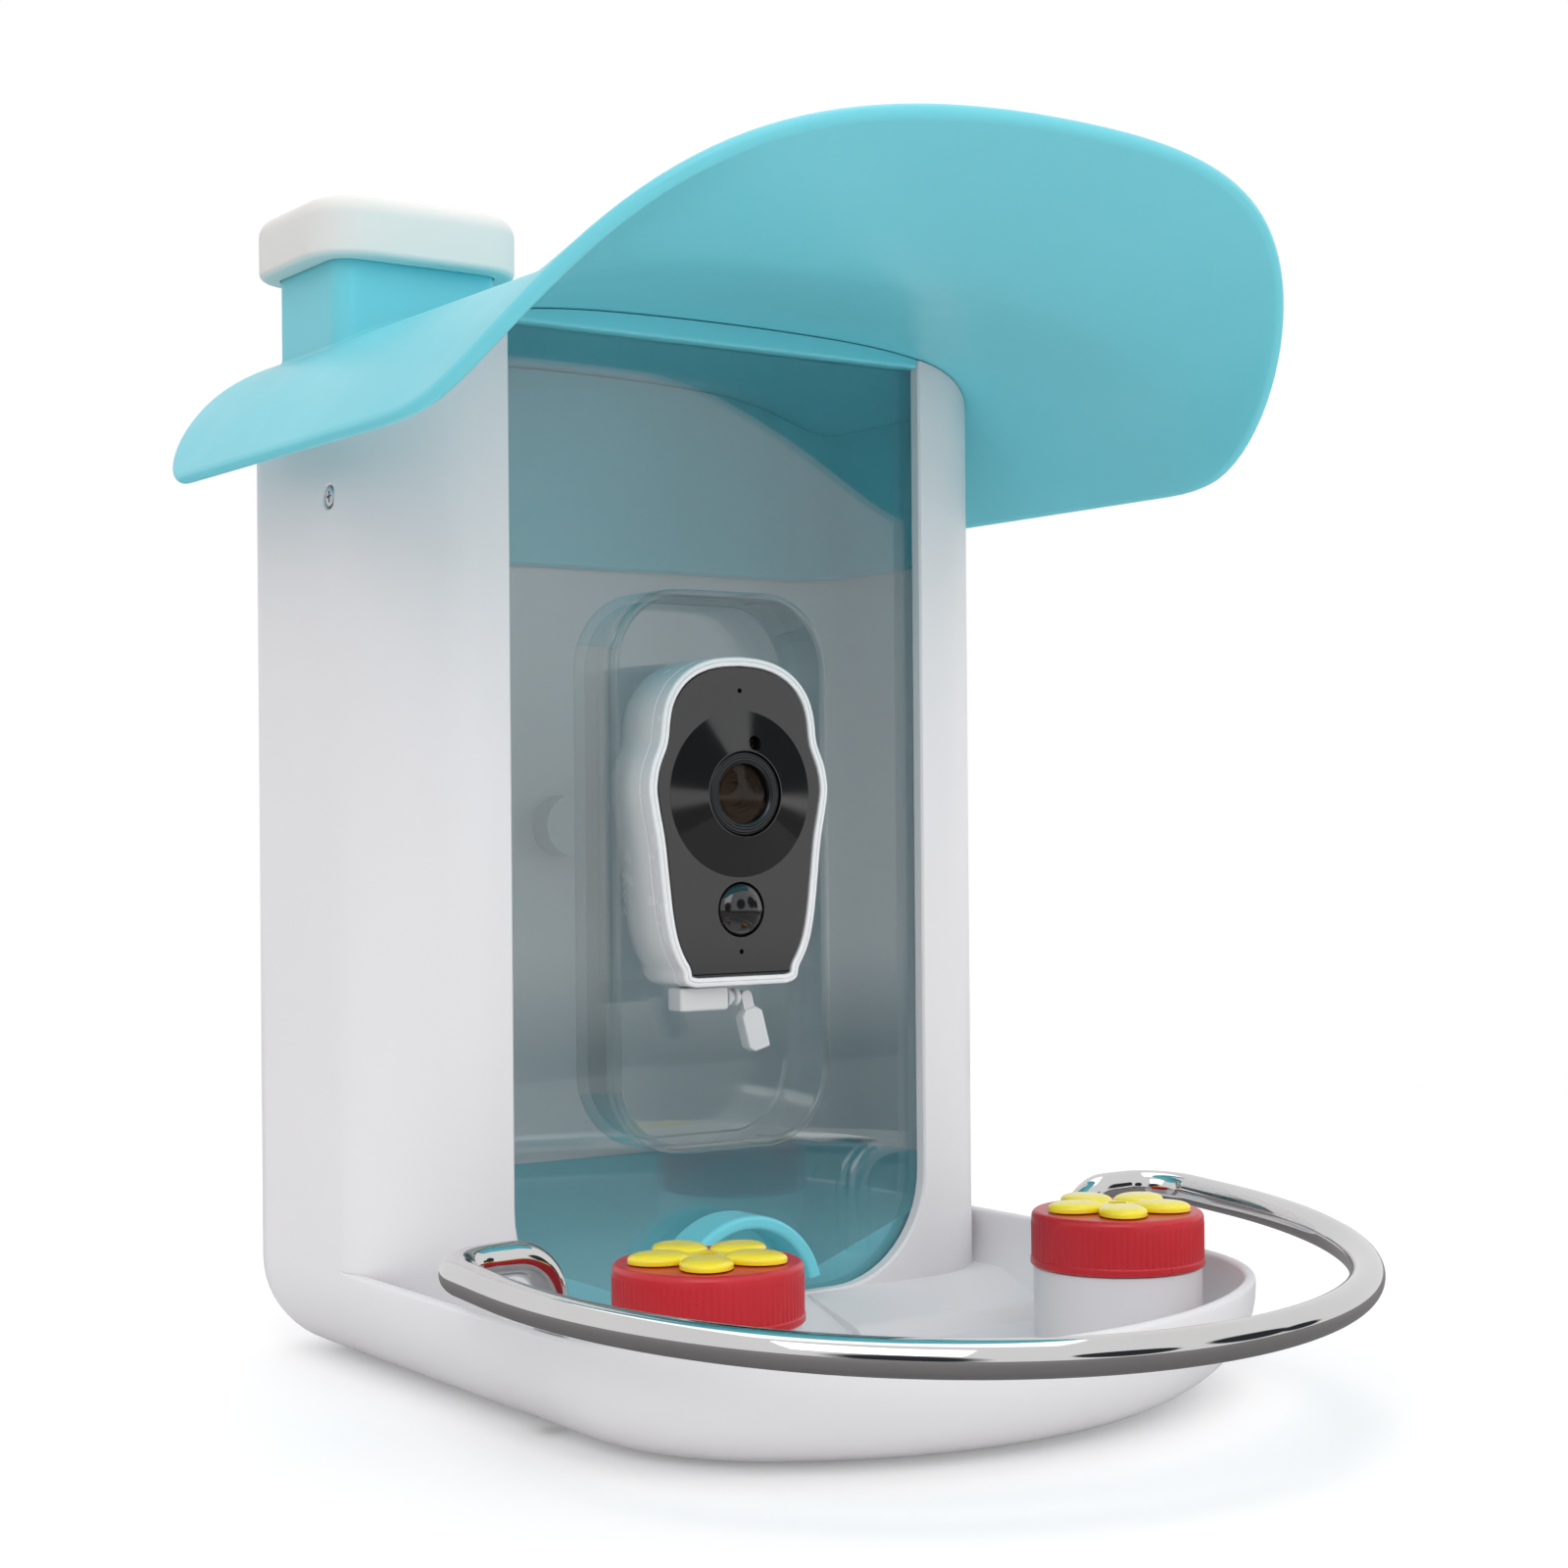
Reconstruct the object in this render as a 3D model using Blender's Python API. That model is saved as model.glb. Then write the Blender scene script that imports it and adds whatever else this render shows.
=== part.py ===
"""Smart bird feeder: a moulded housing with a seed tray, a teal rain roof with an off-centre
filler neck, a clear front panel with a pocket for a camera, a chrome perch rail and two
nectar cups with flower lids. Metres, +Z up. The origin is on the ground at the middle of the
column's front face. The front is -Y, and +X is to the right when the front is looked at.
"""
import math

import bmesh
import bpy
from mathutils import Matrix, Vector

# Fits between pieces
GAP = 0.0003
CUT_OVERRUN = 0.004
SMALLEST_RADIUS = 0.0004
MERGE_DISTANCE = 0.0000001

# Housing: a column and a tray in one moulding
HALF_WIDTH = 0.0897
COLUMN_DEPTH = 0.0846
WALL = 0.0032
FLOOR = 0.0030
REAR_CORNER_RADIUS = 0.0165
LEAST_CORNER_RADIUS = 0.0040
FRONT_CORNER_RADIUS = 0.0290
JAMB_WIDTH = 0.0014
FOOT_ROUND_HEIGHT = 0.0234
FOOT_ROUND_WIDTH = 0.0256

# Tray
TRAY_FRONT = 0.1305
TRAY_FRONT_FLATNESS = 0.0206
TRAY_CORNER_RADIUS = 0.0579
RIM_HEIGHT = 0.0259
RIM_THICKNESS = 0.0025
COLUMN_FOOT_STEP = 0.0001
LEDGE_LENGTH = 0.0210
LEDGE_FRONT_RISE = 0.0042
LEDGE_TOE = 0.0035
CHUTE_HALF_WIDTH = 0.0220

# Window in the column's front wall, and the clear panel behind it
WINDOW_SILL_RISE = 0.0097
WINDOW_CORNER_RADIUS = 0.0270
HEAD_BAND_END_HEIGHT = 0.0023197
PANEL_LAP = 0.0018
PANEL_THICKNESS = 0.0022
POCKET_HALF_WIDTH = 0.0314
POCKET_HEIGHT = 0.1352
POCKET_CORNER_RADIUS = 0.0190
POCKET_WALL = 0.0022
POCKET_BEAD = 0.0017
POCKET_MIDDLE_Z = 0.1169

# Roof: the shape of its underside, and its outline
ROOF_UNDER_HEIGHT = 0.2490
ROOF_DROP = 0.0381
ROOF_SIDE_OVERHANG = 0.0184
ROOF_SHOULDER_POWER = 5.2
ROOF_CROWN_SHARE = 0.133
ROOF_THICKNESS = 0.0034
ROOF_REAR_OVERHANG = 0.0084
ROOF_REAR_CORNER_RADIUS = 0.0271
VISOR_LIFT_START = 0.0529
VISOR_SIDE_LENGTH = 0.0374
VISOR_REACH = 0.0888
VISOR_LIFT_EASE = 0.0206
VISOR_SLOPE = 0.295
VISOR_OUTLINE_POWER = 2.33

# Collar under the roof, inside the column
COLLAR_HEIGHT = 0.0523
COLLAR_WALL = 0.0025
COLLAR_CLEARANCE = 0.0004

# Filler neck and its cap
NECK_SIDE_INSET = 0.0273
NECK_REAR_INSET = 0.0296
NECK_HALF_WIDTH = 0.0215
NECK_HALF_DEPTH = 0.0180
NECK_CORNER_RADIUS = 0.0050
NECK_WALL = 0.0025
NECK_RISE = 0.0207
CAP_OVERHANG = 0.0060
CAP_HEIGHT = 0.0145
CAP_TOP_THICKNESS = 0.0062
CAP_CORNER_RADIUS = 0.0130
CAP_TOP_ROUND = 0.0045
CAP_FOOT_ROUND = 0.0015
SEAL_WALL = 0.0018
SEAL_FIT = 0.0004
SEAL_DEPTH = 0.0060

# Fixing screws of the roof
ROOF_SCREW_BEHIND_CORNER = 0.0022
ROOF_SCREW_BELOW_CROWN = 0.0445
SCREW_RECESS_RADIUS = 0.0028
SCREW_RECESS_DEPTH = 0.0014
SCREW_HEAD_RADIUS = 0.0024
SCREW_HEAD_HEIGHT = 0.0009
SCREW_SHANK_RADIUS = 0.0012
SCREW_CLEARANCE = 0.0003

# Seed ramp and outlet
RAMP_RIM_HEIGHT = 0.0387
RAMP_LIP_RISE = 0.0006
RAMP_WALL = 0.0025
OUTLET_RADIUS = 0.0185
HOOD_THICKNESS = 0.0032
HOOD_REACH = 0.0080
HOOD_END_RISE = 0.0058

# Perch rail
RAIL_RADIUS = 0.00375
RAIL_OVERHANG = 0.0116
RAIL_FRONT_OVERHANG = 0.0358
RAIL_ARC_START = 0.0650
RAIL_HEIGHT = 0.0374
RAIL_FRONT_DROP = 0.0075
RAIL_LEG_INSET = 0.0158
RAIL_LEG_Y = 0.0410
RAIL_LEG_BEND = 0.0095
RAIL_SIDE_BEND = 0.0125
RAIL_SOCKET_WALL = 0.0028
RAIL_SOCKET_DEPTH = 0.0022
RAIL_FOOT_RISE = 0.0060
RAIL_SCREW_WALL = 0.0030
RAIL_SCREW_RADIUS = 0.0015
RAIL_SCREW_LENGTH = 0.0100
RAIL_SCREW_HEAD_RADIUS = 0.0029
RAIL_SCREW_HEAD_HEIGHT = 0.0010

# Nectar cups, lids and flowers
CUP_INSET_X = 0.0333
CUP_Y = 0.0750
CUP_RADIUS = 0.0193
CUP_WALL = 0.0018
CUP_FLOOR = 0.0018
CUP_SHOULDER_RISE = 0.0232
CUP_PEDESTAL_HEIGHT = 0.0050
CUP_NECK_HEIGHT = 0.0087
CUP_BOSS_HEIGHT = 0.0025
CUP_BOSS_INSET = 0.0045
LID_RADIUS = 0.0200
LID_HEIGHT = 0.0123
LID_WALL = 0.0018
LID_TOP = 0.0020
LID_ROUND = 0.0012
LID_TAPER = 0.0003
GASKET_THICKNESS = 0.0012
NECTAR_HOLE_RADIUS = 0.0021
PETAL_COUNT = 5
PETAL_ORBIT = 0.0103
PETAL_HALF_LENGTH = 0.0066
PETAL_HALF_WIDTH = 0.0055
PETAL_HEIGHT = 0.0021
FLOWER_CENTRE_RADIUS = 0.0056
FLOWER_CENTRE_HEIGHT = 0.0012
FIRST_PETAL_ANGLE = math.radians(-125)

# Camera
CAMERA_HALF_WIDTH = 0.0258
CAMERA_HEIGHT = 0.0787
CAMERA_DEPTH = 0.0240
CAMERA_STAND_OUT = 0.0056
CAMERA_ABOVE_POCKET_MIDDLE = 0.01185
CAMERA_WALL = 0.0020
CAMERA_REAR_ROUND = 0.0090
BEZEL_WIDTH = 0.0026
BEZEL_DEPTH = 0.0042
BEZEL_LIP = 0.0012
FACE_THICKNESS = 0.0024
FACE_SINK = 0.0004
DISH_RADIUS = 0.0200
DISH_DEPTH = 0.0011
LENS_ABOVE_MIDDLE = 0.00655
LENS_RING_RADIUS = 0.0100
LENS_GLASS_RADIUS = 0.0070
LENS_RING_STAND_OUT = 0.0029
LENS_GLASS_SINK = 0.0008
LENS_GLASS_THICKNESS = 0.0020
LIGHT_SENSOR_RADIUS = 0.00165
LIGHT_SENSOR_ABOVE_LENS = 0.0121
LIGHT_SENSOR_X = 0.0032
PIR_RADIUS = 0.00635
PIR_BELOW_LENS = 0.0277
PIR_DOME_HEIGHT = 0.0036
PIR_FLANGE = 0.0009
MICROPHONE_HOLE_RADIUS = 0.0006
MICROPHONE_ABOVE_LENS = 0.0247
STATUS_HOLE_BELOW_LENS = 0.0378
BOARD_THICKNESS = 0.0016
BOARD_HALF_WIDTH = 0.0140
BOARD_HALF_HEIGHT = 0.0247
BOARD_BELOW_MIDDLE = 0.0010
BOARD_BACK_FROM_FACE = 0.0105
BARREL_RADIUS = 0.0055
PIR_CAN_RADIUS = 0.0042
BATTERY_THICKNESS = 0.0075
BATTERY_HALF_WIDTH = 0.0150
BATTERY_HALF_HEIGHT = 0.0230
BATTERY_ABOVE_MIDDLE = 0.0020
POST_RADIUS = 0.0026
POST_END_DEPTH = 0.0030
CASE_SCREW_RADIUS = 0.0010
CASE_SCREW_HEAD_RADIUS = 0.0019
CASE_SCREW_HEAD_HEIGHT = 0.0010
MOUNT_SCREW_RADIUS = 0.0032
MOUNT_SCREW_GRIP = 0.0036
MOUNT_KNOB_RADIUS = 0.0090
MOUNT_KNOB_THICKNESS = 0.0050
MOUNT_BOSS_WALL = 0.0022
MOUNT_BELOW_MIDDLE = 0.0270

# Power button, port plug and its cover, under the camera
BUTTON_RADIUS = 0.0025
BUTTON_PROUD = 0.0009
BUTTON_FLANGE = 0.0007
BUTTON_FLANGE_THICKNESS = 0.0010
BUTTON_X = 0.0080
BUTTON_FROM_FACE = 0.0116
PLUG_LENGTH = 0.0137
PLUG_HEIGHT = 0.0056
PLUG_DEPTH = 0.0060
PLUG_MIDDLE_X = -0.0085
PLUG_FROM_FACE = 0.0066
PLUG_TAIL_RADIUS = 0.0013
PLUG_RIB_RADIUS = 0.0021
PLUG_RIB_WIDTH = 0.0014
PLUG_RIB_SPACING = 0.0008
PLUG_RIB_COUNT = 2
PLUG_TAIL_LENGTH = 0.0048
COVER_STRAP_WIDTH = 0.0030
COVER_STRAP_LENGTH = 0.0030
COVER_HALF_WIDTH = 0.0030
COVER_LENGTH = 0.0105
COVER_THICKNESS = 0.0038
COVER_CHAMFER = 0.0014
COVER_TILT = math.radians(15)

# Threaded insert in the rear wall
INSERT_RADIUS = 0.0045
INSERT_BORE_RADIUS = 0.0026
INSERT_LENGTH = 0.0080
INSERT_BOSS_WALL = 0.0030
INSERT_HEIGHT = 0.1280

# Facets
SHARP_ANGLE = math.radians(32)
ROUND_SEGMENTS = 24
SMALL_SEGMENTS = 14
TINY_SEGMENTS = 8
CORNER_STEPS = 5
TRAY_ARC_STEPS = 10
COLUMN_CORNER_STEPS = 6
FOOT_STEPS = 5
ROUND_STEPS = 3
SMALL_CORNER_STEPS = 3
ROOF_COLUMNS = 10
DOME_STEPS = 5
PETAL_SEGMENTS = 12
RAIL_SIDES = 10
RAIL_ARC_STEPS = 28
RAIL_BEND_STEPS = 5

SIDES = ((-1, "left"), (1, "right"))

# Where things end up
WINDOW_HALF_WIDTH = HALF_WIDTH - FRONT_CORNER_RADIUS - JAMB_WIDTH
TRAY_FRONT_RADIUS = HALF_WIDTH + TRAY_FRONT_FLATNESS
FLOOR_TOP = FLOOR
SILL_Z = FLOOR + WINDOW_SILL_RISE
PANEL_FRONT_Y = WALL + GAP
PANEL_BACK_Y = PANEL_FRONT_Y + PANEL_THICKNESS
CAMERA_FACE_Y = -CAMERA_STAND_OUT
CAMERA_REAR_Y = CAMERA_FACE_Y + CAMERA_DEPTH
CAMERA_MIDDLE_Z = POCKET_MIDDLE_Z + CAMERA_ABOVE_POCKET_MIDDLE
CAMERA_BOTTOM_Z = CAMERA_MIDDLE_Z - CAMERA_HEIGHT / 2
LENS_Z = CAMERA_MIDDLE_Z + LENS_ABOVE_MIDDLE
POCKET_BACK_Y = CAMERA_REAR_Y + GAP
NECK_TOP = ROOF_UNDER_HEIGHT + NECK_RISE
CUP_X = HALF_WIDTH - CUP_INSET_X
CUP_SEAT_Z = FLOOR_TOP + CUP_PEDESTAL_HEIGHT
CUP_BASE_Z = CUP_SEAT_Z + GAP
CUP_SHOULDER_Z = FLOOR_TOP + CUP_SHOULDER_RISE
CUP_RIM_Z = CUP_SHOULDER_Z + CUP_NECK_HEIGHT
LID_BOTTOM_Z = CUP_SHOULDER_Z + GAP
LID_TOP_Z = max(LID_BOTTOM_Z + LID_HEIGHT, CUP_RIM_Z + GAP + GASKET_THICKNESS + GAP + LID_TOP)
ROOF_HALF_WIDTH = HALF_WIDTH + ROOF_SIDE_OVERHANG
ROOF_SCREW_Y = FRONT_CORNER_RADIUS + ROOF_SCREW_BEHIND_CORNER
NECK_MIDDLE_X = NECK_SIDE_INSET - HALF_WIDTH
NECK_MIDDLE_Y = COLUMN_DEPTH - NECK_REAR_INSET
RAIL_HALF_WIDTH = HALF_WIDTH + RAIL_OVERHANG
RAIL_LEG_X = HALF_WIDTH - RAIL_LEG_INSET
RAIL_FRONT = TRAY_FRONT + RAIL_FRONT_OVERHANG
RAIL_FOOT_Z = FLOOR_TOP + RAIL_FOOT_RISE + GAP
RAIL_SCREW_SEAT_Z = RAIL_FOOT_Z - GAP - RAIL_SCREW_WALL
BUTTON_Y = CAMERA_FACE_Y + BUTTON_FROM_FACE
PLUG_Y = CAMERA_FACE_Y + PLUG_FROM_FACE

# Half widths of the camera's outline, as shares of CAMERA_HALF_WIDTH, at heights given as
# shares of CAMERA_HEIGHT, from its flat foot to its round top
CAMERA_OUTLINE_SHARES = [
    (0.50, 0.000), (0.70, 0.075), (0.825, 0.155), (0.865, 0.240), (0.903, 0.360), (0.935, 0.450),
    (0.984, 0.520), (1.000, 0.586), (0.957, 0.655), (0.862, 0.735), (0.806, 0.823),
    (0.715, 0.892), (0.500, 0.957), (0.250, 0.992),
]
# How far the rear rounding draws in, as a share of its depth
CAMERA_ROUND_SHARE = 0.8
# Where the lens glass curves away from its flat front, as shares of its radius
LENS_CROWN_SHARE = 0.45
LENS_SHOULDER_SHARE = 0.80
# The first ring of the motion sensor's dome, as a share of one step from its top
DOME_TOP_SHARE = 0.6
# A petal's profile as shares of its half length and of its height
PETAL_PROFILE_SHARES = [(1.0, 0.0), (0.93, 0.58), (0.55, 1.0)]
# The point that halves a lid's edge rounding, as a share of the rounding
LID_ROUND_SHARE = 0.3
# The least share of a point's own move that its neighbours' move may be when an outline is inset
MITRE_SHARE = 0.5
# Rows of the roof from its rear edge to its front edge, closest over the rising visor
ROOF_ROW_SHARES = [0.0, 0.35, 0.60, 0.69, 0.76, 0.82, 0.88, 0.94, 1.0]
# Places of the four case posts, as shares of the camera's half width and of its half height
POST_SHARES = [(-0.52, 0.74), (0.52, 0.74), (-0.66, -0.66), (0.66, -0.66)]

# Materials: base colour, roughness, metallic, transmission
MATERIALS = {
    "housing_white": ((0.72, 0.72, 0.74), 0.35, 0.0, 0.0),
    "roof_teal": ((0.13, 0.55, 0.65), 0.38, 0.0, 0.0),
    "cap_white": ((0.78, 0.78, 0.75), 0.55, 0.0, 0.0),
    "clear_panel": ((0.35, 0.55, 0.58), 0.08, 0.0, 0.8),
    "lid_red": ((0.52, 0.02, 0.03), 0.32, 0.0, 0.0),
    "petal_yellow": ((0.90, 0.70, 0.02), 0.35, 0.0, 0.0),
    "chrome": ((0.80, 0.80, 0.80), 0.08, 1.0, 0.0),
    "camera_white": ((0.80, 0.80, 0.80), 0.35, 0.0, 0.0),
    "camera_black": ((0.02, 0.02, 0.022), 0.12, 0.0, 0.0),
    "lens_glass": ((0.05, 0.04, 0.03), 0.03, 0.0, 0.3),
    "dark_plastic": ((0.03, 0.03, 0.035), 0.30, 0.0, 0.0),
    "rubber_white": ((0.75, 0.77, 0.78), 0.60, 0.0, 0.0),
    "seal_clear": ((0.70, 0.74, 0.74), 0.50, 0.0, 0.0),
    "circuit_green": ((0.02, 0.16, 0.06), 0.50, 0.0, 0.0),
    "battery_wrap": ((0.10, 0.12, 0.35), 0.45, 0.0, 0.0),
    "steel": ((0.60, 0.60, 0.62), 0.30, 1.0, 0.0),
    "brass": ((0.70, 0.50, 0.20), 0.30, 1.0, 0.0),
}


def clear_scene():
    for old in list(bpy.data.objects):
        bpy.data.objects.remove(old, do_unlink=True)


def material(name):
    if name in bpy.data.materials:
        return bpy.data.materials[name]
    colour, roughness, metallic, transmission = MATERIALS[name]
    made = bpy.data.materials.new(name)
    made.use_nodes = True
    shader = made.node_tree.nodes["Principled BSDF"]
    shader.inputs["Base Color"].default_value = (*colour, 1.0)
    shader.inputs["Roughness"].default_value = roughness
    shader.inputs["Metallic"].default_value = metallic
    shader.inputs["Transmission Weight"].default_value = transmission
    made.diffuse_color = (*colour, 1.0)
    return made


# Mesh helpers

def loft(rings, closed=False):
    """A solid through rings of points: capped at both ends, or closed round on itself."""
    mesh = bmesh.new()
    loops = [[mesh.verts.new(point) for point in ring] for ring in rings]
    pairs = list(zip(loops, loops[1:]))
    if closed:
        pairs.append((loops[-1], loops[0]))
    for low, high in pairs:
        for i in range(len(low)):
            j = (i + 1) % len(low)
            mesh.faces.new((low[i], low[j], high[j], high[i]))
    if not closed:
        mesh.faces.new(list(reversed(loops[0])))
        mesh.faces.new(loops[-1])
    bmesh.ops.recalc_face_normals(mesh, faces=mesh.faces)
    return mesh


def at_height(outline, z):
    return [Vector((x, y, z)) for x, y in outline]


def at_depth(outline, y):
    return [Vector((x, y, z)) for x, z in outline]


def prism_z(outline, low, high):
    return loft([at_height(outline, low), at_height(outline, high)])


def prism_y(outline, front, back):
    return loft([at_depth(outline, front), at_depth(outline, back)])


def tube_z(outer, inner, low, high):
    return loft([at_height(outer, low), at_height(outer, high), at_height(inner, high),
                 at_height(inner, low)], closed=True)


def box(low, high):
    (x0, y0, z0), (x1, y1, z1) = low, high
    return prism_z([(x0, y0), (x1, y0), (x1, y1), (x0, y1)], z0, z1)


def circle(x, y, radius, segments):
    steps = [2 * math.pi * i / segments for i in range(segments)]
    return [(x + radius * math.cos(a), y + radius * math.sin(a)) for a in steps]


def cylinder_z(x, y, radius, low, high, segments=SMALL_SEGMENTS):
    return prism_z(circle(x, y, radius, segments), low, high)


def cylinder_y(x, z, radius, front, back, segments=SMALL_SEGMENTS):
    return prism_y(circle(x, z, radius, segments), front, back)


def cylinder_x(y, z, radius, low, high, segments=SMALL_SEGMENTS):
    ring = circle(y, z, radius, segments)
    return loft([[Vector((x, a, b)) for a, b in ring] for x in (low, high)])


def turned(profile, segments=ROUND_SEGMENTS, closed=False):
    """A solid turned about Z from (radius, height) points."""
    return loft([at_height(circle(0, 0, r, segments), z) for r, z in profile], closed)


def arc(cx, cy, radius, start, end, steps):
    """Points of an arc with the outward normal of each, angles in degrees."""
    points = []
    for i in range(steps + 1):
        a = math.radians(start + (end - start) * i / steps)
        nx, ny = math.cos(a), math.sin(a)
        points.append((cx + radius * nx, cy + radius * ny, nx, ny))
    return points


def rounded_rectangle(cx, cy, half_x, half_y, radius, steps=CORNER_STEPS):
    radius = max(min(radius, half_x - SMALLEST_RADIUS, half_y - SMALLEST_RADIUS), SMALLEST_RADIUS)
    corners = [(1, -1, -90), (1, 1, 0), (-1, 1, 90), (-1, -1, 180)]
    outline = []
    for sx, sy, start in corners:
        centre_x = cx + sx * (half_x - radius)
        centre_y = cy + sy * (half_y - radius)
        turn = arc(centre_x, centre_y, radius, start, start + 90, steps)
        outline += [(x, y) for x, y, _, _ in turn]
    return outline


def inset(outline, distance):
    """The outline moved inwards by a distance. It runs anticlockwise."""
    moved = []
    count = len(outline)
    for i in range(count):
        before, here, after = (Vector(outline[(i + k) % count]) for k in (-1, 0, 1))
        first = (here - before).normalized()
        second = (after - here).normalized()
        normal = Vector((-(first.y + second.y), first.x + second.x)).normalized()
        share = max(normal.dot(Vector((-first.y, first.x))), MITRE_SHARE)
        moved.append(tuple(here + normal * distance / share))
    return moved


def joined(base, tool, operation):
    """The base mesh after one exact Boolean with the tool mesh."""
    objects = []
    for mesh in (base, tool):
        data = bpy.data.meshes.new("working")
        mesh.to_mesh(data)
        mesh.free()
        made = bpy.data.objects.new("working", data)
        bpy.context.collection.objects.link(made)
        objects.append(made)
    modifier = objects[0].modifiers.new("boolean", "BOOLEAN")
    modifier.operation = operation
    modifier.solver = "EXACT"
    modifier.object = objects[1]
    evaluated = objects[0].evaluated_get(bpy.context.evaluated_depsgraph_get())
    result = bmesh.new()
    result.from_mesh(evaluated.to_mesh())
    evaluated.to_mesh_clear()
    for made in objects:
        data = made.data
        bpy.data.objects.remove(made, do_unlink=True)
        bpy.data.meshes.remove(data)
    bmesh.ops.dissolve_degenerate(result, dist=MERGE_DISTANCE, edges=result.edges)
    return result


def add(base, *tools):
    for tool in tools:
        base = joined(base, tool, "UNION")
    return base


def cut(base, *tools):
    for tool in tools:
        base = joined(base, tool, "DIFFERENCE")
    return base


def moved(mesh, matrix):
    bmesh.ops.transform(mesh, matrix=matrix, verts=mesh.verts)
    return mesh


def shifted(mesh, x, y, z):
    return moved(mesh, Matrix.Translation((x, y, z)))


def piece(name, mesh, finish, origin=(0.0, 0.0, 0.0)):
    """One named object. The origin is in world coordinates, and the mesh is placed about it."""
    shifted(mesh, -origin[0], -origin[1], -origin[2])
    data = bpy.data.meshes.new(name)
    mesh.to_mesh(data)
    mesh.free()
    data.shade_smooth()
    data.set_sharp_from_angle(angle=SHARP_ANGLE)
    made = bpy.data.objects.new(name, data)
    made.location = origin
    made.data.materials.append(material(finish))
    bpy.context.collection.objects.link(made)
    return made


# Outlines that several pieces share

def roof_under(x, y):
    """Height of the roof's underside: a low crown with drooping sides, and a visor that rises."""
    share = min(abs(x) / ROOF_HALF_WIDTH, 1.0)
    droop = (1 - ROOF_CROWN_SHARE) * share ** ROOF_SHOULDER_POWER + ROOF_CROWN_SHARE * share ** 2
    ahead = max(-VISOR_LIFT_START - y, 0.0)
    lift = VISOR_SLOPE * ahead ** 2 / (ahead + VISOR_LIFT_EASE)
    return ROOF_UNDER_HEIGHT - ROOF_DROP * droop + lift


def head_band_bottom():
    """The window's top edge, below the roof's underside at the window's ends."""
    return roof_under(WINDOW_HALF_WIDTH, 0.0) - HEAD_BAND_END_HEIGHT


def roof_columns():
    """The roof's stations across, finest at its drooping sides."""
    steps = range(-ROOF_COLUMNS, ROOF_COLUMNS + 1)
    shares = [math.sin(math.pi / 2 * i / ROOF_COLUMNS) for i in steps]
    return [ROOF_HALF_WIDTH * share for share in shares]


def above_roof_underside(clearance):
    """A cutter that holds all that lies above the roof's underside, less a clearance."""
    columns = roof_columns()
    low = [(x, roof_under(x, 0.0) - clearance) for x in columns]
    top = ROOF_UNDER_HEIGHT + ROOF_DROP
    reach = ROOF_HALF_WIDTH + CUT_OVERRUN
    profile = [(-reach, low[0][1])] + low + [(reach, low[-1][1]), (reach, top), (-reach, top)]
    return prism_y(profile, -VISOR_LIFT_START + CUT_OVERRUN, COLUMN_DEPTH + CUT_OVERRUN)


def rear_corners(distance=0.0):
    """Right rear corner, then left rear corner, of the column and the tray alike, inset."""
    radius = max(REAR_CORNER_RADIUS - distance, LEAST_CORNER_RADIUS)
    reach = HALF_WIDTH - distance - radius
    centre_y = COLUMN_DEPTH - distance - radius
    points = arc(reach, centre_y, radius, 0, 90, CORNER_STEPS)
    points += arc(-reach, centre_y, radius, 90, 180, CORNER_STEPS)
    return [(x, y) for x, y, _, _ in points]


def column_front():
    """The column's front from its left to its right side, with as many points as the tray's."""
    radius = FRONT_CORNER_RADIUS
    left = arc(radius - HALF_WIDTH, radius, radius, 180, 270, COLUMN_CORNER_STEPS)
    right = arc(HALF_WIDTH - radius, radius, radius, 270, 360, COLUMN_CORNER_STEPS)
    flat_steps = 2 * (CORNER_STEPS - COLUMN_CORNER_STEPS) + TRAY_ARC_STEPS + 2
    reach = HALF_WIDTH - radius
    flat = [(-reach + 2 * reach * i / flat_steps, 0.0, 0.0, -1.0) for i in range(1, flat_steps)]
    return left + flat + right


def tray_front():
    """The tray's front from the column's left side to its right side."""
    corner = TRAY_CORNER_RADIUS
    side = HALF_WIDTH - corner
    front_centre = TRAY_FRONT_RADIUS - TRAY_FRONT
    reach = TRAY_FRONT_RADIUS - corner
    corner_y = front_centre - math.sqrt(max(reach ** 2 - side ** 2, 0.0))
    turn = math.degrees(math.atan2(side, front_centre - corner_y))
    left = arc(-side, corner_y, corner, 180, 270 - turn, CORNER_STEPS)
    front = arc(0.0, front_centre, TRAY_FRONT_RADIUS, 270 - turn, 270 + turn, TRAY_ARC_STEPS)
    right = arc(side, corner_y, corner, 270 + turn, 360, CORNER_STEPS)
    first = (-HALF_WIDTH, FRONT_CORNER_RADIUS, -1.0, 0.0)
    last = (HALF_WIDTH, FRONT_CORNER_RADIUS, 1.0, 0.0)
    return [first] + left + front[1:-1] + right + [last]


def inwards(points, distance):
    """Points with normals moved against those normals."""
    return [(x - nx * distance, y - ny * distance) for x, y, nx, ny in points]


def column_outline(distance=0.0):
    return inwards(column_front(), distance) + rear_corners(distance)


def base_outline(distance=0.0):
    return inwards(tray_front(), distance) + rear_corners(distance)


def window_outline(half_width, bottom, top, radius):
    """Straight sides and top, round lower corners, as (x, z) points."""
    left = arc(radius - half_width, bottom + radius, radius, 180, 270, CORNER_STEPS)
    right = arc(half_width - radius, bottom + radius, radius, 270, 360, CORNER_STEPS)
    return [(x, z) for x, z, _, _ in left + right] + [(half_width, top), (-half_width, top)]


def half_round(radius, base, steps, floor):
    """A half-round arch over a base height, closed straight down to a floor height."""
    arch = [(x, z) for x, z, _, _ in arc(0.0, base, radius, 0, 180, steps)]
    return [(radius, floor)] + arch + [(-radius, floor)]


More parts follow.
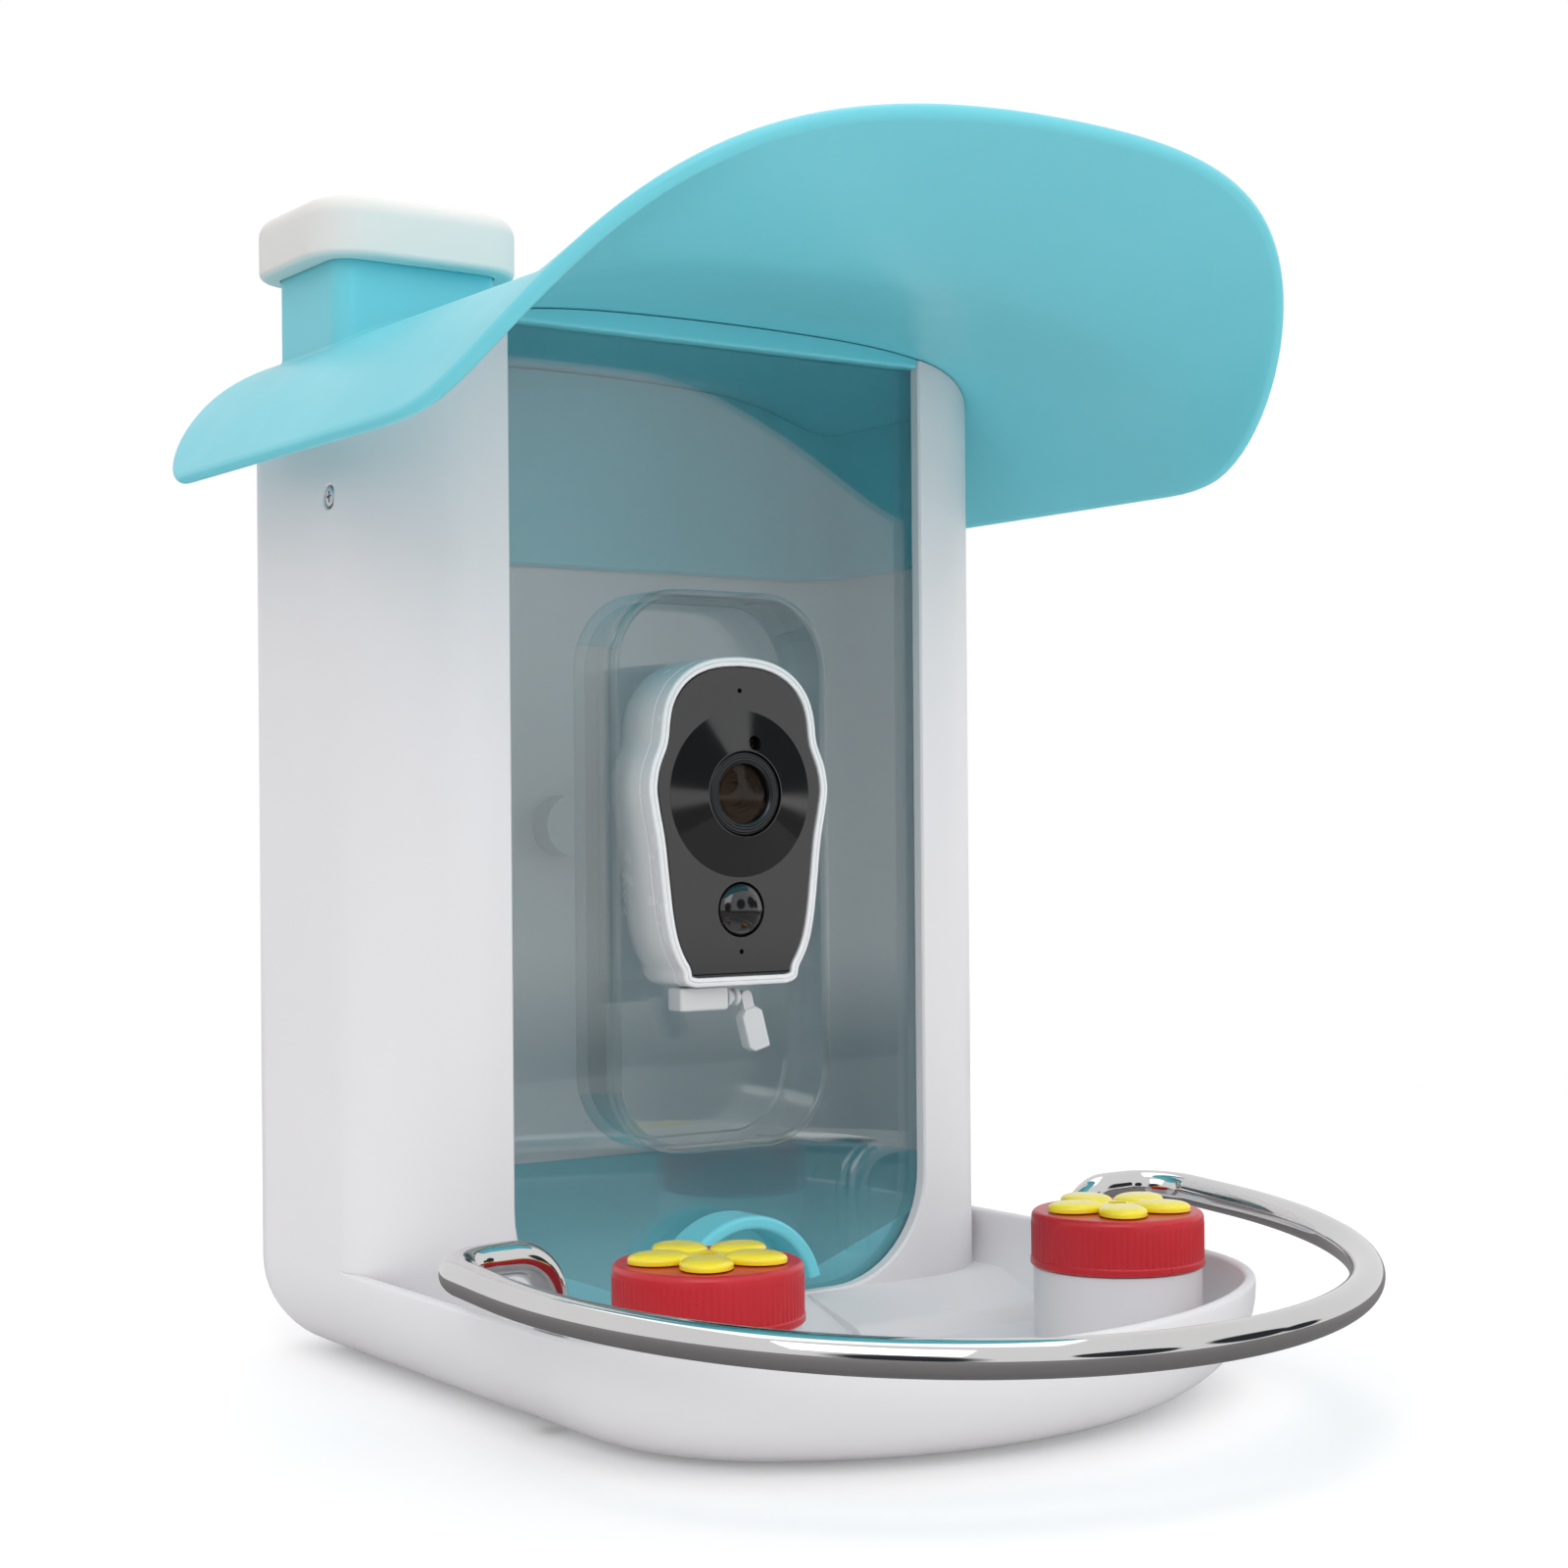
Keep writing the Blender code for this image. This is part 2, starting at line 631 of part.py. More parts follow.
def camera_outline(distance=0.0):
    """The camera's outline as (x, z) points, anticlockwise seen from the rear side."""
    right = [(across * CAMERA_HALF_WIDTH, CAMERA_BOTTOM_Z + up * CAMERA_HEIGHT)
             for across, up in CAMERA_OUTLINE_SHARES]
    outline = right + [(-x, z) for x, z in reversed(right)]
    return inset(outline, distance) if distance else outline


def camera_ring(distance, drawn_in, y):
    """The camera's outline, inset by a wall and drawn in towards its middle, as a ring of points."""
    across = 1 - drawn_in / CAMERA_HALF_WIDTH
    upright = 1 - drawn_in / (CAMERA_HEIGHT / 2)
    return [Vector((x * across, y, CAMERA_MIDDLE_Z + (z - CAMERA_MIDDLE_Z) * upright))
            for x, z in camera_outline(distance)]


def foot_levels():
    """Heights of the hull's rounded foot, each with how far it is drawn in there."""
    angles = [math.pi / 2 * i / FOOT_STEPS for i in range(FOOT_STEPS + 1)]
    return [(FOOT_ROUND_HEIGHT * (1 - math.cos(a)), FOOT_ROUND_WIDTH * (1 - math.sin(a)))
            for a in angles]


def inner_levels(bottom, top):
    """The foot's levels from a bottom that lies between them up to a top."""
    levels = foot_levels()
    kept = []
    for (low, low_inset), (high, high_inset) in zip(levels, levels[1:]):
        if low <= bottom < high:
            share = (bottom - low) / (high - low)
            kept.append((bottom, low_inset + (high_inset - low_inset) * share))
        if bottom < high < top:
            kept.append((high, high_inset))
    return (kept or [(bottom, 0.0)]) + [(top, 0.0)]


def hollow(distance, bottom, top):
    """A solid inset in the column, drawn in over the foot's back and sides but not at its front."""
    rings = []
    for z, drawn_in in inner_levels(bottom, top):
        front = [(x - nx * (distance + drawn_in), y - ny * distance)
                 for x, y, nx, ny in column_front()]
        rings.append(at_height(front + rear_corners(distance + drawn_in), z))
    return loft(rings)


# Housing

def housing():
    rings = [at_height(base_outline(drawn_in), z) for z, drawn_in in foot_levels()]
    rings.append(at_height(base_outline(), RIM_HEIGHT))
    rings.append(at_height(column_outline(), RIM_HEIGHT))
    rings.append(at_height(column_outline(), ROOF_UNDER_HEIGHT + CUT_OVERRUN))
    body = loft(rings)
    bmesh.ops.remove_doubles(body, verts=body.verts, dist=MERGE_DISTANCE)
    bmesh.ops.dissolve_degenerate(body, dist=MERGE_DISTANCE, edges=body.edges)

    body = cut(body, tray_space(), chute())
    high = ROOF_UNDER_HEIGHT + ROOF_DROP
    window = window_outline(WINDOW_HALF_WIDTH, SILL_Z, high, WINDOW_CORNER_RADIUS)
    body = cut(body, hollow(WALL, FLOOR_TOP, high), prism_y(window, -CUT_OVERRUN, WALL + CUT_OVERRUN),
               above_roof_underside(GAP))
    for side in (-1, 1):
        boss = cylinder_z(side * CUP_X, -CUP_Y, CUP_RADIUS - CUP_BOSS_INSET, CUP_SEAT_Z - CUP_BOSS_HEIGHT,
                          CUP_SEAT_Z + CUP_BOSS_HEIGHT)
        x = side * RAIL_LEG_X
        leg_hole = cylinder_z(x, -RAIL_LEG_Y, RAIL_RADIUS + GAP, RAIL_FOOT_Z - GAP, RIM_HEIGHT)
        screw_hole = cylinder_z(x, -RAIL_LEG_Y, RAIL_SCREW_RADIUS + SCREW_CLEARANCE, -CUT_OVERRUN,
                                RAIL_FOOT_Z, TINY_SEGMENTS)
        head_space = cylinder_z(x, -RAIL_LEG_Y, RAIL_SCREW_HEAD_RADIUS + SCREW_CLEARANCE, -CUT_OVERRUN,
                                RAIL_SCREW_SEAT_Z)
        body = cut(add(body, boss), leg_hole, screw_hole, head_space, *roof_screw_holes(side))
    boss = cylinder_y(0.0, INSERT_HEIGHT, INSERT_RADIUS + GAP + INSERT_BOSS_WALL,
                      COLUMN_DEPTH - INSERT_LENGTH - WALL, COLUMN_DEPTH - WALL / 2)
    hole = cylinder_y(0.0, INSERT_HEIGHT, INSERT_RADIUS + GAP, COLUMN_DEPTH - INSERT_LENGTH - GAP,
                      COLUMN_DEPTH + CUT_OVERRUN)
    return piece("housing", cut(add(body, boss), hole), "housing_white")


def tray_space():
    """The room in the tray. Its wall follows the hull's foot. It leaves the sloping ledge before
    the column, a pedestal under each cup and a socket for each leg of the rail.
    """
    top = RIM_HEIGHT + CUT_OVERRUN
    rings = [at_height(inwards(tray_front(), RIM_THICKNESS + drawn_in), z)
             for z, drawn_in in inner_levels(FLOOR_TOP, top)]
    low = FLOOR_TOP - CUT_OVERRUN
    column = prism_z(column_outline(-COLUMN_FOOT_STEP), low, top + CUT_OVERRUN)
    inside = FRONT_CORNER_RADIUS + CUT_OVERRUN
    wedge = [(inside, low), (inside, SILL_Z - GAP), (0.0, SILL_Z - GAP),
             (-LEDGE_LENGTH, FLOOR_TOP + LEDGE_FRONT_RISE),
             (-LEDGE_LENGTH - LEDGE_TOE, FLOOR_TOP), (-LEDGE_LENGTH - LEDGE_TOE, low)]
    ledge = loft([[Vector((x, y, z)) for y, z in wedge] for x in (-HALF_WIDTH, HALF_WIDTH)])
    space = cut(loft(rings), column, ledge)
    for side in (-1, 1):
        pedestal = cylinder_z(side * CUP_X, -CUP_Y, CUP_RADIUS, low, CUP_SEAT_Z, ROUND_SEGMENTS)
        socket = cylinder_z(side * RAIL_LEG_X, -RAIL_LEG_Y, RAIL_RADIUS + GAP + RAIL_SOCKET_WALL,
                            low, RAIL_FOOT_Z + RAIL_SOCKET_DEPTH)
        space = cut(space, pedestal, socket)
    return space


def chute():
    """A channel from the sill down through the ledge to the tray's floor."""
    start = -COLUMN_FOOT_STEP
    end = -LEDGE_LENGTH - LEDGE_TOE
    profile = [(start, SILL_Z - 2 * GAP), (start, SILL_Z + CUT_OVERRUN), (end, SILL_Z + CUT_OVERRUN),
               (end, FLOOR_TOP + GAP)]
    return loft([[Vector((x, y, z)) for y, z in profile] for x in (-CHUTE_HALF_WIDTH, CHUTE_HALF_WIDTH)])


def roof_screw_z():
    return ROOF_UNDER_HEIGHT - ROOF_SCREW_BELOW_CROWN


def roof_screw_holes(side):
    z = roof_screw_z()
    outer = HALF_WIDTH + CUT_OVERRUN
    recess = cylinder_x(ROOF_SCREW_Y, z, SCREW_RECESS_RADIUS, *sorted(
        (side * (HALF_WIDTH - SCREW_RECESS_DEPTH), side * outer)))
    hole = cylinder_x(ROOF_SCREW_Y, z, SCREW_SHANK_RADIUS + SCREW_CLEARANCE, *sorted(
        (side * (HALF_WIDTH - WALL - CUT_OVERRUN), side * outer)), TINY_SEGMENTS)
    return recess, hole


def roof_screws():
    z = roof_screw_z()
    for side, word in SIDES:
        seat = HALF_WIDTH - SCREW_RECESS_DEPTH + GAP
        tip = HALF_WIDTH - WALL - COLLAR_CLEARANCE - COLLAR_WALL
        head = cylinder_x(ROOF_SCREW_Y, z, SCREW_HEAD_RADIUS, *sorted(
            (side * seat, side * (seat + SCREW_HEAD_HEIGHT))))
        shank = cylinder_x(ROOF_SCREW_Y, z, SCREW_SHANK_RADIUS, *sorted(
            (side * tip, side * (seat + SCREW_HEAD_HEIGHT / 2))), TINY_SEGMENTS)
        piece("roof_screw_" + word, add(head, shank), "steel", (side * seat, ROOF_SCREW_Y, z))


# Roof with its visor and filler neck

def roof_edge(x):
    """The Y of the roof's rear and front edges at a station across."""
    radius = ROOF_REAR_CORNER_RADIUS
    into = max(abs(x) - (ROOF_HALF_WIDTH - radius), 0.0)
    drawn_in = radius - math.sqrt(max(radius ** 2 - into ** 2, 0.0))
    rear = COLUMN_DEPTH + ROOF_REAR_OVERHANG - drawn_in
    share = min(abs(x) / ROOF_HALF_WIDTH, 1.0)
    power = VISOR_OUTLINE_POWER
    front = -VISOR_SIDE_LENGTH - VISOR_REACH * max(1 - share ** power, 0.0) ** (1 / power)
    return rear, front


def roof_normal(x, y):
    step = ROOF_THICKNESS / 10
    slope_x = (roof_under(x + step, y) - roof_under(x - step, y)) / (2 * step)
    slope_y = (roof_under(x, y + step) - roof_under(x, y - step)) / (2 * step)
    if abs(x) + step > ROOF_HALF_WIDTH:
        inner = math.copysign(ROOF_HALF_WIDTH - step, x)
        slope_x = (roof_under(inner + step, y) - roof_under(inner - step, y)) / (2 * step)
    return Vector((-slope_x, -slope_y, 1.0)).normalized()


def visor():
    """The roof sheet: a bottom skin, a top skin along its normals and a rounded edge."""
    mesh = bmesh.new()
    under, over = [], []
    for x in roof_columns():
        rear, front = roof_edge(x)
        rows = [rear + (front - rear) * share for share in ROOF_ROW_SHARES]
        low = [Vector((x, y, roof_under(x, y))) for y in rows]
        high = [p + roof_normal(p.x, p.y) * ROOF_THICKNESS for p in low]
        under.append([mesh.verts.new(p) for p in low])
        over.append([mesh.verts.new(p) for p in high])
    last_column = len(under) - 1
    last_row = len(under[0]) - 1
    for grid in (under, over):
        for i in range(last_column):
            for j in range(last_row):
                mesh.faces.new((grid[i][j], grid[i + 1][j], grid[i + 1][j + 1], grid[i][j + 1]))
    loop = [(0, j) for j in range(last_row)] + [(i, last_row) for i in range(last_column)]
    loop += [(last_column, j) for j in range(last_row, 0, -1)]
    loop += [(i, 0) for i in range(last_column, 0, -1)]
    middle = []
    for k, (i, j) in enumerate(loop):
        before, after = loop[k - 1], loop[(k + 1) % len(loop)]
        along = (under[after[0]][after[1]].co - under[before[0]][before[1]].co).normalized()
        normal = (over[i][j].co - under[i][j].co).normalized()
        outward = along.cross(normal).normalized()
        centre = (under[i][j].co + over[i][j].co) / 2
        if outward.dot(Vector((centre.x, centre.y, 0.0))) < 0:
            outward = -outward
        middle.append(mesh.verts.new(centre + outward * ROOF_THICKNESS / 2))
    for k, (i, j) in enumerate(loop):
        n = (k + 1) % len(loop)
        a, b = loop[n]
        mesh.faces.new((under[i][j], under[a][b], middle[n], middle[k]))
        mesh.faces.new((middle[k], middle[n], over[a][b], over[i][j]))
    bmesh.ops.recalc_face_normals(mesh, faces=mesh.faces)
    return mesh


def neck_outline(distance):
    return rounded_rectangle(NECK_MIDDLE_X, NECK_MIDDLE_Y, NECK_HALF_WIDTH - distance,
                             NECK_HALF_DEPTH - distance, NECK_CORNER_RADIUS - distance,
                             SMALL_CORNER_STEPS)


def divided(outline, longest):
    """The outline with its long straight runs divided."""
    points = []
    for k, (x, y) in enumerate(outline):
        nx, ny = outline[(k + 1) % len(outline)]
        parts = max(math.ceil(math.hypot(nx - x, ny - y) / longest), 1)
        points += [(x + (nx - x) * i / parts, y + (ny - y) * i / parts) for i in range(parts)]
    return points


def roof():
    outer = divided(neck_outline(0.0), NECK_HALF_WIDTH / 2)
    share_x = 1 - 2 * NECK_WALL / NECK_HALF_WIDTH
    share_y = 1 - 2 * NECK_WALL / NECK_HALF_DEPTH
    inner = [(NECK_MIDDLE_X + (x - NECK_MIDDLE_X) * share_x,
              NECK_MIDDLE_Y + (y - NECK_MIDDLE_Y) * share_y) for x, y in outer]
    feet = [[Vector((x, y, roof_under(x, y) + ROOF_THICKNESS / 2)) for x, y in ring]
            for ring in (outer, inner)]
    neck = loft([feet[0], at_height(outer, NECK_TOP), at_height(inner, NECK_TOP), feet[1]],
                closed=True)
    bore = prism_z(neck_outline(NECK_WALL), ROOF_UNDER_HEIGHT - ROOF_DROP, NECK_TOP + CUT_OVERRUN)
    body = cut(add(visor(), neck), bore)
    return piece("roof", body, "roof_teal")


def roof_collar():
    outside = WALL + COLLAR_CLEARANCE
    low = ROOF_UNDER_HEIGHT - COLLAR_HEIGHT
    high = ROOF_UNDER_HEIGHT + CUT_OVERRUN
    skirt = tube_z(column_outline(outside), column_outline(outside + COLLAR_WALL), low, high)
    notch_half = WINDOW_HALF_WIDTH + PANEL_LAP + GAP
    notch = box((-notch_half, -CUT_OVERRUN, low - CUT_OVERRUN),
                (notch_half, FRONT_CORNER_RADIUS, head_band_bottom()))
    lip_half = WINDOW_HALF_WIDTH - GAP
    lip = box((-lip_half, GAP, head_band_bottom()), (lip_half, outside + COLLAR_WALL / 2, high))
    skirt = cut(add(cut(skirt, notch), lip), above_roof_underside(GAP))
    for side in (-1, 1):
        ends = sorted((side * (HALF_WIDTH - WALL), side * (HALF_WIDTH - WALL - 2 * COLLAR_WALL)))
        hole = cylinder_x(ROOF_SCREW_Y, roof_screw_z(), SCREW_SHANK_RADIUS + SCREW_CLEARANCE,
                          *ends, TINY_SEGMENTS)
        skirt = cut(skirt, hole)
    return piece("roof_collar", skirt, "roof_teal")


# Filler cap

def filler_cap():
    half_x = NECK_HALF_WIDTH + CAP_OVERHANG
    half_y = NECK_HALF_DEPTH + CAP_OVERHANG
    top = NECK_TOP + GAP + CAP_TOP_THICKNESS
    bottom = top - CAP_HEIGHT
    levels = [(CAP_FOOT_ROUND, bottom), (0.0, bottom + CAP_FOOT_ROUND), (0.0, top - CAP_TOP_ROUND)]
    for i in range(1, ROUND_STEPS + 1):
        angle = math.pi / 2 * i / ROUND_STEPS
        levels.append((CAP_TOP_ROUND * (1 - math.cos(angle)),
                       top - CAP_TOP_ROUND * (1 - math.sin(angle))))
    rings = []
    for drawn_in, z in levels:
        outline = rounded_rectangle(NECK_MIDDLE_X, NECK_MIDDLE_Y, half_x - drawn_in,
                                    half_y - drawn_in, CAP_CORNER_RADIUS - drawn_in)
        rings.append(at_height(outline, z))
    socket = prism_z(neck_outline(-SEAL_FIT), bottom - CUT_OVERRUN, NECK_TOP + GAP)
    origin = (NECK_MIDDLE_X, NECK_MIDDLE_Y, bottom)
    piece("filler_cap", cut(loft(rings), socket), "cap_white", origin)
    outer = neck_outline(NECK_WALL + SEAL_FIT)
    inner = neck_outline(NECK_WALL + SEAL_FIT + SEAL_WALL)
    piece("filler_cap_seal", tube_z(outer, inner, NECK_TOP - SEAL_DEPTH, NECK_TOP), "seal_clear", origin)


# Clear front panel with the camera pocket

def pocket_outline(distance):
    return rounded_rectangle(0.0, POCKET_MIDDLE_Z, POCKET_HALF_WIDTH - distance,
                             POCKET_HEIGHT / 2 - distance, POCKET_CORNER_RADIUS - distance)


def window_panel():
    outline = window_outline(WINDOW_HALF_WIDTH + PANEL_LAP, FLOOR_TOP + GAP, head_band_bottom() - GAP,
                             WINDOW_CORNER_RADIUS)
    plate = prism_y(outline, PANEL_FRONT_Y, PANEL_BACK_Y)
    pocket = prism_y(pocket_outline(0.0), PANEL_FRONT_Y - POCKET_BEAD, POCKET_BACK_Y + POCKET_WALL)
    room = prism_y(pocket_outline(POCKET_WALL), PANEL_FRONT_Y - POCKET_BEAD - CUT_OVERRUN, POCKET_BACK_Y)
    outlet = prism_y(half_round(OUTLET_RADIUS, SILL_Z, ROUND_SEGMENTS // 2, -CUT_OVERRUN),
                     PANEL_FRONT_Y - CUT_OVERRUN, PANEL_BACK_Y + CUT_OVERRUN)
    screw_hole = cylinder_y(0.0, CAMERA_MIDDLE_Z - MOUNT_BELOW_MIDDLE,
                            MOUNT_SCREW_RADIUS + SCREW_CLEARANCE, POCKET_BACK_Y - CUT_OVERRUN,
                            POCKET_BACK_Y + POCKET_WALL + CUT_OVERRUN)
    body = cut(add(plate, pocket), room, outlet, screw_hole)
    return piece("window_panel", body, "clear_panel")


def seed_hood():
    """A half-round eyebrow over the outlet, standing out from the panel's face."""
    steps = ROUND_SEGMENTS // 2
    outer = OUTLET_RADIUS + HOOD_THICKNESS
    tilt = math.degrees(math.asin(min(HOOD_END_RISE / outer, 1.0)))
    ring = [(x, z) for x, z, _, _ in arc(0.0, SILL_Z, outer, tilt, 180 - tilt, steps)]
    ring += [(x, z) for x, z, _, _ in arc(0.0, SILL_Z, OUTLET_RADIUS, 180 - tilt, tilt, steps)]
    return piece("seed_hood", prism_y(ring, -HOOD_REACH, PANEL_FRONT_Y - GAP), "roof_teal")


# Seed ramp

def ramp_height(x, y):
    """A funnel floor: level at the walls and lowest at the outlet."""
    front = PANEL_BACK_Y + GAP
    run_back = COLUMN_DEPTH - WALL - GAP - front
    run_side = HALF_WIDTH - WALL - GAP - OUTLET_RADIUS
    lip = SILL_Z + RAMP_LIP_RISE
    rise = RAMP_RIM_HEIGHT - lip
    away = max((y - front) / run_back, (abs(x) - OUTLET_RADIUS) / run_side, 0.0)
    return lip + rise * min(away, 1.0)


def ramp_sheet(drop, far_z):
    """The space from the ramp's surface, lowered by a drop, to a far height."""
    front = PANEL_BACK_Y + GAP
    back = COLUMN_DEPTH - WALL - GAP
    side = HALF_WIDTH - WALL - GAP
    reach = CUT_OVERRUN * 2
    xs = [-side - reach, -side, -OUTLET_RADIUS, OUTLET_RADIUS, side, side + reach]
    ys = [front - reach, front, back, back + reach]
    mesh = bmesh.new()
    near = [[mesh.verts.new((x, y, ramp_height(x, y) - drop)) for y in ys] for x in xs]
    far = [[mesh.verts.new((x, y, far_z)) for y in ys] for x in xs]
    last_x = len(xs) - 1
    last_y = len(ys) - 1
    for i in range(last_x):
        for j in range(last_y):
            for grid in (near, far):
                a, b, c, d = grid[i][j], grid[i + 1][j], grid[i + 1][j + 1], grid[i][j + 1]
                halves = ((a, b, d), (b, c, d)) if xs[i] < -OUTLET_RADIUS else ((a, b, c), (a, c, d))
                for corners in halves:
                    mesh.faces.new(corners)
    edge = [(i, 0) for i in range(last_x)] + [(last_x, j) for j in range(last_y)]
    edge += [(i, last_y) for i in range(last_x, 0, -1)] + [(0, j) for j in range(last_y, 0, -1)]
    for k, (i, j) in enumerate(edge):
        m, n = edge[(k + 1) % len(edge)]
        mesh.faces.new((near[i][j], near[m][n], far[m][n], far[i][j]))
    bmesh.ops.recalc_face_normals(mesh, faces=mesh.faces)
    return mesh


def seed_ramp():
    """A funnel floor on a skirt that stands on the hull's floor."""
    front = PANEL_BACK_Y + GAP
    above = RAMP_RIM_HEIGHT + 2 * CUT_OVERRUN
    body = hollow(WALL + GAP, FLOOR_TOP + GAP, RAMP_RIM_HEIGHT + CUT_OVERRUN)
    ahead = box((-HALF_WIDTH, -CUT_OVERRUN, 0.0), (HALF_WIDTH, front, above))
    body = cut(body, ahead, ramp_sheet(0.0, above))
    room = hollow(WALL + GAP + RAMP_WALL, FLOOR_TOP + GAP - COLUMN_FOOT_STEP, RAMP_RIM_HEIGHT)
    room = cut(room, box((-HALF_WIDTH, -CUT_OVERRUN, 0.0), (HALF_WIDTH, front + RAMP_WALL, above)))
    room = cut(room, ramp_sheet(RAMP_WALL, above))
    return piece("seed_ramp", cut(body, room), "roof_teal")


# Perch rail

def rail_z(y):
    """The rail lies in a plane that drops a little to the front."""
    return RAIL_HEIGHT - RAIL_FRONT_DROP * (-y - RAIL_LEG_Y) / (RAIL_FRONT - RAIL_LEG_Y)


def bend(before, corner, after, radius, steps):
    """Points of a round bend between two straight runs that meet at a corner."""
    first = (before - corner).normalized()
    second = (after - corner).normalized()
    half = first.angle(second) / 2
    radius = min(radius, math.tan(half) * min((before - corner).length, (after - corner).length))
    back = radius / math.tan(half)
    start = corner + first * back
    centre = corner + (first + second).normalized() * (radius / math.sin(half))
    axis = second.cross(first).normalized()
    turn = math.pi - 2 * half
    return [centre + Matrix.Rotation(turn * i / steps, 3, axis) @ (start - centre)
            for i in range(steps + 1)]


def rail_path():
    """Centre line from the right foot round the front to the left foot."""
    foot = Vector((RAIL_LEG_X, -RAIL_LEG_Y, RAIL_FOOT_Z))
    knee = Vector((RAIL_LEG_X, -RAIL_LEG_Y, rail_z(-RAIL_LEG_Y)))
    elbow = Vector((RAIL_HALF_WIDTH, -RAIL_LEG_Y, rail_z(-RAIL_LEG_Y)))
    side = Vector((RAIL_HALF_WIDTH, -RAIL_ARC_START, rail_z(-RAIL_ARC_START)))
    straight = (knee.z - RAIL_LEG_BEND + RAIL_FOOT_Z) / 2
    half = [foot, Vector((foot.x, foot.y, straight))]
    half += bend(foot, knee, elbow, RAIL_LEG_BEND, RAIL_BEND_STEPS)
    half += bend(knee, elbow, side, RAIL_SIDE_BEND, RAIL_BEND_STEPS)
    path = list(half)
    for i in range(RAIL_ARC_STEPS + 1):
        a = math.pi * i / RAIL_ARC_STEPS
        y = -RAIL_ARC_START - (RAIL_FRONT - RAIL_ARC_START) * math.sin(a)
        path.append(Vector((RAIL_HALF_WIDTH * math.cos(a), y, rail_z(y))))
    path += [Vector((-p.x, p.y, p.z)) for p in reversed(half)]
    kept = [path[0]]
    for point in path[1:]:
        if (point - kept[-1]).length > RAIL_RADIUS / 4:
            kept.append(point)
    return kept


def swept(path, radius, sides):
    """A round rod along a path, its rings turned as little as they can be."""
    rings = []
    across = Vector((1.0, 0.0, 0.0))
    for i, point in enumerate(path):
        before = path[max(i - 1, 0)]
        after = path[min(i + 1, len(path) - 1)]
        along = (after - before).normalized()
        across = (across - along * across.dot(along)).normalized()
        other = along.cross(across)
        steps = [2 * math.pi * k / sides for k in range(sides)]
        rings.append([point + (across * math.cos(a) + other * math.sin(a)) * radius
                      for a in steps])
    return loft(rings)


def perch():
    rail = swept(rail_path(), RAIL_RADIUS, RAIL_SIDES)
    for side, word in SIDES:
        x = side * RAIL_LEG_X
        hole = cylinder_z(x, -RAIL_LEG_Y, RAIL_SCREW_RADIUS + SCREW_CLEARANCE, RAIL_FOOT_Z - CUT_OVERRUN,
                          RAIL_FOOT_Z + RAIL_SCREW_LENGTH, TINY_SEGMENTS)
        rail = cut(rail, hole)
        head_top = RAIL_SCREW_SEAT_Z - GAP
        head_low = head_top - RAIL_SCREW_HEAD_HEIGHT
        head = cylinder_z(x, -RAIL_LEG_Y, RAIL_SCREW_HEAD_RADIUS, head_low, head_top)
        shank = cylinder_z(x, -RAIL_LEG_Y, RAIL_SCREW_RADIUS, (head_low + head_top) / 2,
                           RAIL_FOOT_Z + RAIL_SCREW_LENGTH - RAIL_SCREW_RADIUS, TINY_SEGMENTS)
        piece("perch_screw_" + word, add(head, shank), "steel", (x, -RAIL_LEG_Y, head_low))
    piece("perch_rail", rail, "chrome")


# Nectar cups

def cup_set(side, word):
    x = side * CUP_X
    y = -CUP_Y
    neck = LID_RADIUS - LID_WALL - 2 * GAP
    neck = min(neck, CUP_RADIUS)
    inner = neck - CUP_WALL
    recess = CUP_RADIUS - CUP_BOSS_INSET + GAP
    recess_top = CUP_SEAT_Z + CUP_BOSS_HEIGHT + GAP
    lower = turned([(recess, CUP_BASE_Z - CUT_OVERRUN), (recess, recess_top)])
    cup = cut(cup_solid(neck, inner, recess_top), lower)
    shifted(cup, x, y, 0.0)
    piece("nectar_cup_" + word, cup, "housing_white", (x, y, CUP_BASE_Z))

    ceiling = LID_TOP_Z - LID_TOP
    bore = LID_RADIUS - LID_WALL
    upper = LID_RADIUS - LID_TAPER
    middle = LID_ROUND * LID_ROUND_SHARE
    lid = turned([(bore, LID_BOTTOM_Z), (LID_RADIUS, LID_BOTTOM_Z), (upper, LID_TOP_Z - LID_ROUND),
                  (upper - middle, LID_TOP_Z - middle), (upper - LID_ROUND, LID_TOP_Z),
                  (NECTAR_HOLE_RADIUS, LID_TOP_Z), (NECTAR_HOLE_RADIUS, ceiling), (bore, ceiling)],
                 closed=True)
    shifted(lid, x, y, 0.0)
    piece("lid_" + word, lid, "lid_red", (x, y, LID_BOTTOM_Z))

    gasket_low = CUP_RIM_Z + GAP
    gasket_high = ceiling - GAP
    gasket = turned([(inner, gasket_low), (neck, gasket_low), (neck, gasket_high),
                     (inner, gasket_high)], closed=True)
    shifted(gasket, x, y, 0.0)
    piece("lid_gasket_" + word, gasket, "seal_clear", (x, y, gasket_low))
    flower(x, y, word)


def cup_solid(neck, inner, recess_top):
    outside = turned([(CUP_RADIUS, CUP_BASE_Z), (CUP_RADIUS, CUP_SHOULDER_Z)])
    collar = turned([(neck, CUP_BASE_Z + GAP), (neck, CUP_RIM_Z)])
    room = turned([(inner, recess_top + CUP_FLOOR), (inner, CUP_RIM_Z + CUT_OVERRUN)])
    return cut(add(outside, collar), room)


